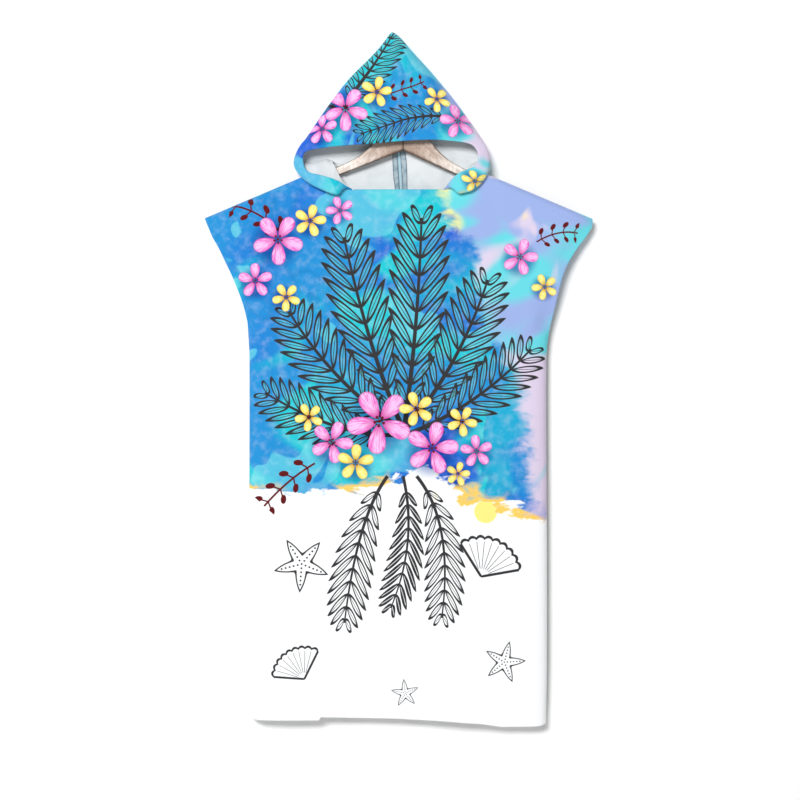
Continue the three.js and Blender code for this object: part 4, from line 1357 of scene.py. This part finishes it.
def up_side(height):
    """The t of a height above the bottom edge, below the underarm."""
    return height / SIDE_HEIGHT * SLEEVE_T


def bottom_hem(panel):
    s = np.linspace(*HEMS["bottom"]["cloth"], 150)
    t = np.linspace(up_side(HEM_START), up_side(BOTTOM_HEM), 8)
    cloth(f"{panel}_bottom_hem", f"hem_{panel}", hem_shape(panel, s, t, "low"), panel)


def sleeve_hem(panel, side):
    s = np.linspace(HEM_START, SLEEVE_HEM, 7) / SLEEVE_SPAN
    if side == "right":
        s = 1 - s[::-1]
    t = np.linspace(*HEMS["sleeve"]["cloth"], 60)
    shape = hem_shape(panel, s, t, side)
    cloth(f"{side}_sleeve_{panel}_hem", f"sleeve_hem_{panel}_{side}", shape, panel)


def neckline_hem():
    s = np.linspace(*HEMS["neck"]["cloth"], 60)
    t = 1 - np.linspace(NECK_HEM, HEM_START, 8) / NECK_HEIGHT
    cloth("neckline_hem", "neck_hem", hem_shape("front", s, t, "high"), "front")


def hood_cloth():
    s, t = np.linspace(0, 1, HOOD_COLUMNS + 1), np.linspace(0, 1, HOOD_ROWS + 1)
    grid = hood_surface(s, t)
    wholes["hood"] = (s, t, grid)

    def beside_back_seam(points):
        if points.shape == grid.shape:
            points[-1, :, 0] = grid[-1, :, 0]
        return points

    lips = [fold_share("face", s), 0, 0, 0]
    shape = wall(grid, hood_cut(s, t), 0, WALL, 1, beside_back_seam, lips)
    # The front part of the neck edge shows the reverse.
    places = shape["cut"][shape["faces"]]
    at_neck = np.abs(places[..., 0]).min(axis=1) > HOOD_LENGTH / 2 - 0.01
    shape["reverse"][at_neck & (places[..., 1].max(axis=1) < HOOD_DEPTH / 2)] = 1
    cloth("hood_cloth", "hood", shape, "hood")


def face_hem():
    s = np.linspace(*HEMS["face"]["cloth"], 200)
    t = np.linspace(HEM_START, FACE_HEM_SEEN, 5) / HOOD_DEPTH
    shape = wall(part_of("hood", s, t), hood_cut(s, -t), WALL + SEAM_GAP, FOLD_EDGE)
    shape["reverse"][:] = 0
    cloth("hood_face_edge_hem", "hood_face_hem", shape, "hood")


def seam_strip(side):
    """The allowance on one side of the hood's back seam, pressed open inside it."""
    s = np.linspace(STRIP["nape"], STRIP["crown"], 90)
    if side == "right":
        s = 1 - s[::-1]
    t = 1 - np.linspace(STRIP["outer"], STRIP["inner"], 6) / HOOD_DEPTH
    outer = WALL + SEAM_GAP
    shape = wall(part_of("hood", s, t), hood_cut(s, t), outer, outer + STRIP["wall"])
    name, node = f"hood_{side}_seam_strip", f"hood_seam_strip_{side}"
    cloth(name, node, shape, "hood", (STRIPS, STRIPS))


for panel in ("front", "back"):
    body_panel(panel)
    bottom_hem(panel)
    for side in ("left", "right"):
        sleeve_hem(panel, side)
neckline_hem()
hood_cloth()
face_hem()
for side in ("left", "right"):
    seam_strip(side)

# ---- Hanger ----

HANGER = {"apex": -139.0, "thickness": 11.0, "round": 2.4, "fall": {"left": 0.386, "right": 0.45}}
DROOP = {"from": 130.0, "over": 85.0, "drop": 9.0}
ARM_END = {"round": 6.0, "thinnest": 0.3}
ARM_HEIGHTS = table(
    "x height",
    (0.2, 47),
    (17, 50),
    (34, 50),
    (50, 45),
    (60, 36),
    (72, 28),
    (90, 21),
    (112, 18),
    (150, 16),
    (190, 13),
    (212, 8),
)


def rounded_box(half_y, half_z, radius, steps=5):
    """Y and Z of a section with round corners."""
    turns = np.linspace(0, math.pi / 2, steps)
    points = []
    for quarter_turn in range(4):
        angle = turns + quarter_turn * math.pi / 2
        sign_y = 1 if quarter_turn in (0, 3) else -1
        sign_z = 1 if quarter_turn in (0, 1) else -1
        y = sign_y * (half_y - radius) + radius * np.cos(angle)
        z = sign_z * (half_z - radius) + radius * np.sin(angle)
        points.append(np.stack([y, z], -1))
    return np.concatenate(points)


def skin(rings):
    """Faces of a body through rings of points, closed at both ends. The two ends come last."""
    count, around = rings.shape[:2]
    index = np.arange(count * around).reshape(count, around)
    near, far = index[:-1], index[1:]
    quads = np.stack([near, np.roll(near, -1, axis=1), np.roll(far, -1, axis=1), far], -1)
    return quads.reshape(-1, 4).tolist() + [index[0][::-1].tolist(), index[-1].tolist()]


def hanger_arm(side):
    """One wooden arm, flat, with rounded corners and a round end."""
    sign = -1 if side == "left" else 1
    first, last = ARM_HEIGHTS["x"][[0, -1]]
    end = last - ARM_END["round"]
    round_end = end + ARM_END["round"] * np.sin(np.linspace(0.1, 1, 9) * math.pi / 2)
    rings, grain = [], []
    for x in [*np.linspace(first, end, 90), *round_end]:
        height = smooth(ARM_HEIGHTS, "x", "height", x)
        droop = DROOP["drop"] * max(0, (x - DROOP["from"]) / DROOP["over"]) ** 2
        low = HANGER["apex"] - x * HANGER["fall"][side] - droop
        size = max(quarter(last - x, ARM_END["round"]), ARM_END["thinnest"])
        half_y, half_z = HANGER["thickness"] / 2 * size, height / 2 * size
        corner = min(HANGER["round"], half_y * 0.9, half_z * 0.9)
        y, z = rounded_box(half_y, half_z, corner).T
        rings.append(np.column_stack([np.full(len(y), sign * x), y, low + height / 2 + z]))
        grain.append(np.column_stack([np.full(len(y), x * MM), y * MM, z / half_z]))
    faces = skin(np.array(rings))
    if side == "right":
        faces = [face[::-1] for face in faces]
    name = f"{side}_hanger_arm"
    arm = make_mesh(name, np.concatenate(rings), faces, [WOOD], SHARP["hard"])
    set_attribute(arm, "grain", "POINT", np.concatenate(grain))
    stand_for(arm, f"hanger_arm_{side}")
    return arm


arms = {side: hanger_arm(side) for side in ("left", "right")}

HOOK = {"wire": 1.8, "radius": 20.0, "foot": -91.6, "bend": 14.0, "pull": 0.6, "from": -0.3, "to": 1.12}
HOOK_END = [0.95, 0.75, 0.35]  # the wire's last few rings narrow to a round end


def hook_line():
    """The middle of the hook's wire: a shank that bends aside and round under its crest."""
    ring = HOOK["radius"] + HOOK["wire"]

    def on_ring(half_turns):
        angle = np.asarray(half_turns) * math.pi
        return np.stack([ring * np.cos(angle), 0 * angle, ring * np.sin(angle) - HOOK["radius"]], -1)

    foot = np.array([0, 0, HOOK["foot"]])
    neck = np.array([0, 0, -HOOK["radius"] - ring - HOOK["bend"]])
    start = HOOK["from"] * math.pi
    tangent = np.array([-math.sin(start), 0, math.cos(start)])
    pull = HOOK["bend"] * HOOK["pull"]
    joint = on_ring(HOOK["from"])
    t = np.linspace(0, 1, 17)[1:, None]
    above, before = neck + [0, 0, pull], joint - tangent * pull
    bent = bend(lerp(neck, above, t), lerp(above, before, t), lerp(before, joint, t), t)
    shank = lerp(foot, neck, np.linspace(0, 1, 9)[:, None])
    return np.concatenate([shank, bent, on_ring(np.linspace(HOOK["from"], HOOK["to"], 60)[1:])])


def steel_hook():
    line = hook_line()
    ahead = unit(np.gradient(line, axis=0))
    side = np.array([0.0, 1.0, 0.0])
    across = np.cross(ahead, side)
    turns = np.linspace(0, 2 * math.pi, 17)[:-1]
    circle = across[:, None] * np.cos(turns)[:, None] + side * np.sin(turns)[:, None]
    width = np.full(len(line), HOOK["wire"])
    width[-len(HOOK_END) :] *= HOOK_END
    rings = line[:, None] + circle * width[:, None, None]
    hook = make_mesh("steel_hook", rings.reshape(-1, 3), skin(rings), [STEEL], SHARP["hard"])
    stand_for(hook, "hanger_hook")


steel_hook()

# ---- Stitches ----

STITCH = {"pitch": 3.2, "length": 2.5, "thread": 0.24, "inset": 3.0}


def stitch_row(line, normals, cut, seed):
    """One row of stitches along a line, and the print's place under each.

    Each stitch is a short bowed thread that dives in at both ends.
    """
    steps = np.linalg.norm(np.diff(line, axis=0), axis=1)
    travelled = np.concatenate([[0], np.cumsum(steps)])
    centres = np.arange(STITCH["pitch"] / 2, steps.sum(), STITCH["pitch"])

    def taken(values, at):
        return np.stack([np.interp(at, travelled, column) for column in values.T], -1)

    bow = np.linspace(-1, 1, 6)
    places = centres[:, None] + bow * STITCH["length"] / 2
    middle, up = taken(line, places), unit(taken(normals, places))
    lift = STITCH["thread"] * (1.4 * np.cos(bow * math.pi / 2) ** 0.6 - 0.9)
    middle = middle + up * lift[None, :, None]
    ahead = unit(np.gradient(middle, axis=1))
    side = unit(np.cross(ahead, up))
    turns = np.linspace(0, 2 * math.pi, 7)[:-1]
    circle = up[:, :, None] * np.cos(turns)[:, None] + side[:, :, None] * np.sin(turns)[:, None]
    spots = np.column_stack([taken(cut, centres) * MM, np.full(len(centres), seed)])
    return middle[:, :, None] + circle * STITCH["thread"], spots


def panel_row(panel, s, t, depth):
    """A stitched line along a row or a column of a panel, at a depth under its printed face."""
    s, t = np.atleast_1d(s), np.atleast_1d(t)
    step = 2e-3
    line = panel_surface(panel, s, t).reshape(-1, 3)
    across = panel_surface(panel, clamp01(s + step), t).reshape(-1, 3) - line
    up = panel_surface(panel, s, clamp01(t + step)).reshape(-1, 3) - line
    normal = unit(np.cross(across, up)) * FACING[panel]
    sign = 1 if depth == 0 else -1
    cut = part_of(panel, s, t).reshape(-1, 2)
    return stitch_row(line - normal * depth, normal * sign, cut, SEEDS[panel])


def panel_stitches(panel):
    """The stitches of a panel's hems, on its printed face and on the inside, as one piece."""
    across, up = (np.linspace(*HEMS[hem]["thread"], 30) for hem in ("neck", "sleeve"))
    sleeve = (SLEEVE_HEM - STITCH["inset"]) / SLEEVE_SPAN
    lines = [(np.linspace(*HEMS["bottom"]["thread"], 60), up_side(BOTTOM_HEM - STITCH["inset"]))]
    lines += [(sleeve, up), (1 - sleeve, up)]
    if panel == "front":
        lines.append((across, 1 - (NECK_HEM - STITCH["inset"]) / NECK_HEIGHT))
    points, faces, cuts = [], [], []
    base = 0
    for rings, spots in [panel_row(panel, s, t, depth) for s, t in lines for depth in (0.0, FOLD_EDGE)]:
        single = np.array(skin(rings[0])[:-2])
        around = rings[0].size // 3
        faces += [single + base + n * around for n in range(len(rings))]
        base += len(rings) * around
        points.append(rings.reshape(-1, 3) + [GARMENT_X, 0, 0])
        cuts.append(np.repeat(spots, around, axis=0))
    name = f"{panel}_panel_stitches"
    joined = np.concatenate(faces).tolist()
    piece = make_mesh(name, np.concatenate(points), joined, [THREAD], SHARP["thread"])
    set_attribute(piece, "cut", "POINT", np.concatenate(cuts))
    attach(piece, "root")
    return piece


stitches = {panel: panel_stitches(panel) for panel in ("front", "back")}

# The towel's back throws no tint of its print on the wall close behind it.
for node in ("body_back", "hem_back"):
    pieces[node].visible_diffuse = False

# ---- Studio ----

VIEW = {"x": -0.006, "z": -0.623, "distance": 4.30, "width": 1.552}
SENSOR = 36.0
SWEEP = {"wall_y": 0.0195, "floor_z": -3.8, "round": 0.3, "half_width": 6.0, "top": 3.0, "front": -7.0}
PAPER = (0.95, 0.95, 0.95, 1)
LAMPS = {
    "key": {"place": (-2.1, -6.0, 2.0), "size": (3.0, 2.0), "power": 444},
    "fill": {"place": (3.2, -5.0, -1.2), "size": (2.5, 2.5), "power": 23},
    "rear_key": {"place": (1.2, 3.8, 0.6), "size": (2.0, 2.0), "power": 90},
    "rear_fill": {"place": (-2.4, 3.4, -1.2), "size": (2.5, 2.5), "power": 75},
}
AIR = {"light": 0.14, "shown": 0.95}  # strength of the air as a light, and as it shows behind


def studio_camera():
    data = bpy.data.cameras.new("camera")
    data.sensor_width = SENSOR
    data.lens = SENSOR * VIEW["distance"] / VIEW["width"]
    camera = put_in_scene("camera", data)
    camera.location = (VIEW["x"], -VIEW["distance"], VIEW["z"])
    camera.rotation_euler = (math.radians(90), 0, 0)
    bpy.context.scene.camera = camera


def studio_paper():
    """Pale paper that shows from its front only."""
    finish = Finish("studio_paper", Base_Color=PAPER, Roughness=0.9, Specular_IOR_Level=0.1)
    behind = finish.node("NewGeometry", out="Backfacing")
    clear = finish.node("BsdfTransparent")
    finish.show(finish.node("MixShader", None, {0: behind, 1: finish.shader, 2: clear}))
    return finish.material


def studio_sweep():
    """A pale wall close behind the towel that curves into the floor."""
    radius = SWEEP["round"]
    centre_y, centre_z = SWEEP["wall_y"] - radius, SWEEP["floor_z"] + radius
    turns = np.linspace(0, math.pi / 2, 16)
    profile = [(SWEEP["wall_y"], SWEEP["top"])]
    profile += [(centre_y + radius * math.cos(a), centre_z - radius * math.sin(a)) for a in turns]
    profile.append((SWEEP["front"], SWEEP["floor_z"]))
    points = [(x, y, z) for y, z in profile for x in (-SWEEP["half_width"], SWEEP["half_width"])]
    faces = [(2 * i, 2 * i + 2, 2 * i + 3, 2 * i + 1) for i in range(len(profile) - 1)]
    mesh = bpy.data.meshes.new("studio_sweep")
    mesh.from_pydata(points, [], faces)
    mesh.materials.append(studio_paper())
    sweep = put_in_scene("studio_sweep", mesh)
    sweep.visible_shadow = False


def studio_lamp(name, place, size, power):
    """A soft box that points at the middle of the view."""
    data = bpy.data.lights.new(name, "AREA")
    data.shape = "RECTANGLE"
    data.size, data.size_y = size
    data.energy = power
    lamp = put_in_scene(name, data)
    lamp.location = place
    ahead = Vector((VIEW["x"], 0, VIEW["z"])) - Vector(place)
    lamp.rotation_euler = ahead.to_track_quat("-Z", "Y").to_euler()


def studio_air():
    world = bpy.data.worlds.new("studio_air")
    world.use_nodes = True
    air = Nodes(world.node_tree, "World")
    seen = air.node("LightPath", out="Is Camera Ray")
    white = (1, 1, 1, 1)
    light, shown = (
        air.node("Background", None, {"Color": white, "Strength": AIR[use]}) for use in ("light", "shown")
    )
    air.show(air.node("MixShader", None, {0: seen, 1: light, 2: shown}))
    bpy.context.scene.world = world


studio_camera()
studio_sweep()
for name, lamp in LAMPS.items():
    studio_lamp(name, **lamp)
studio_air()
bpy.context.scene.view_settings.view_transform = "Standard"
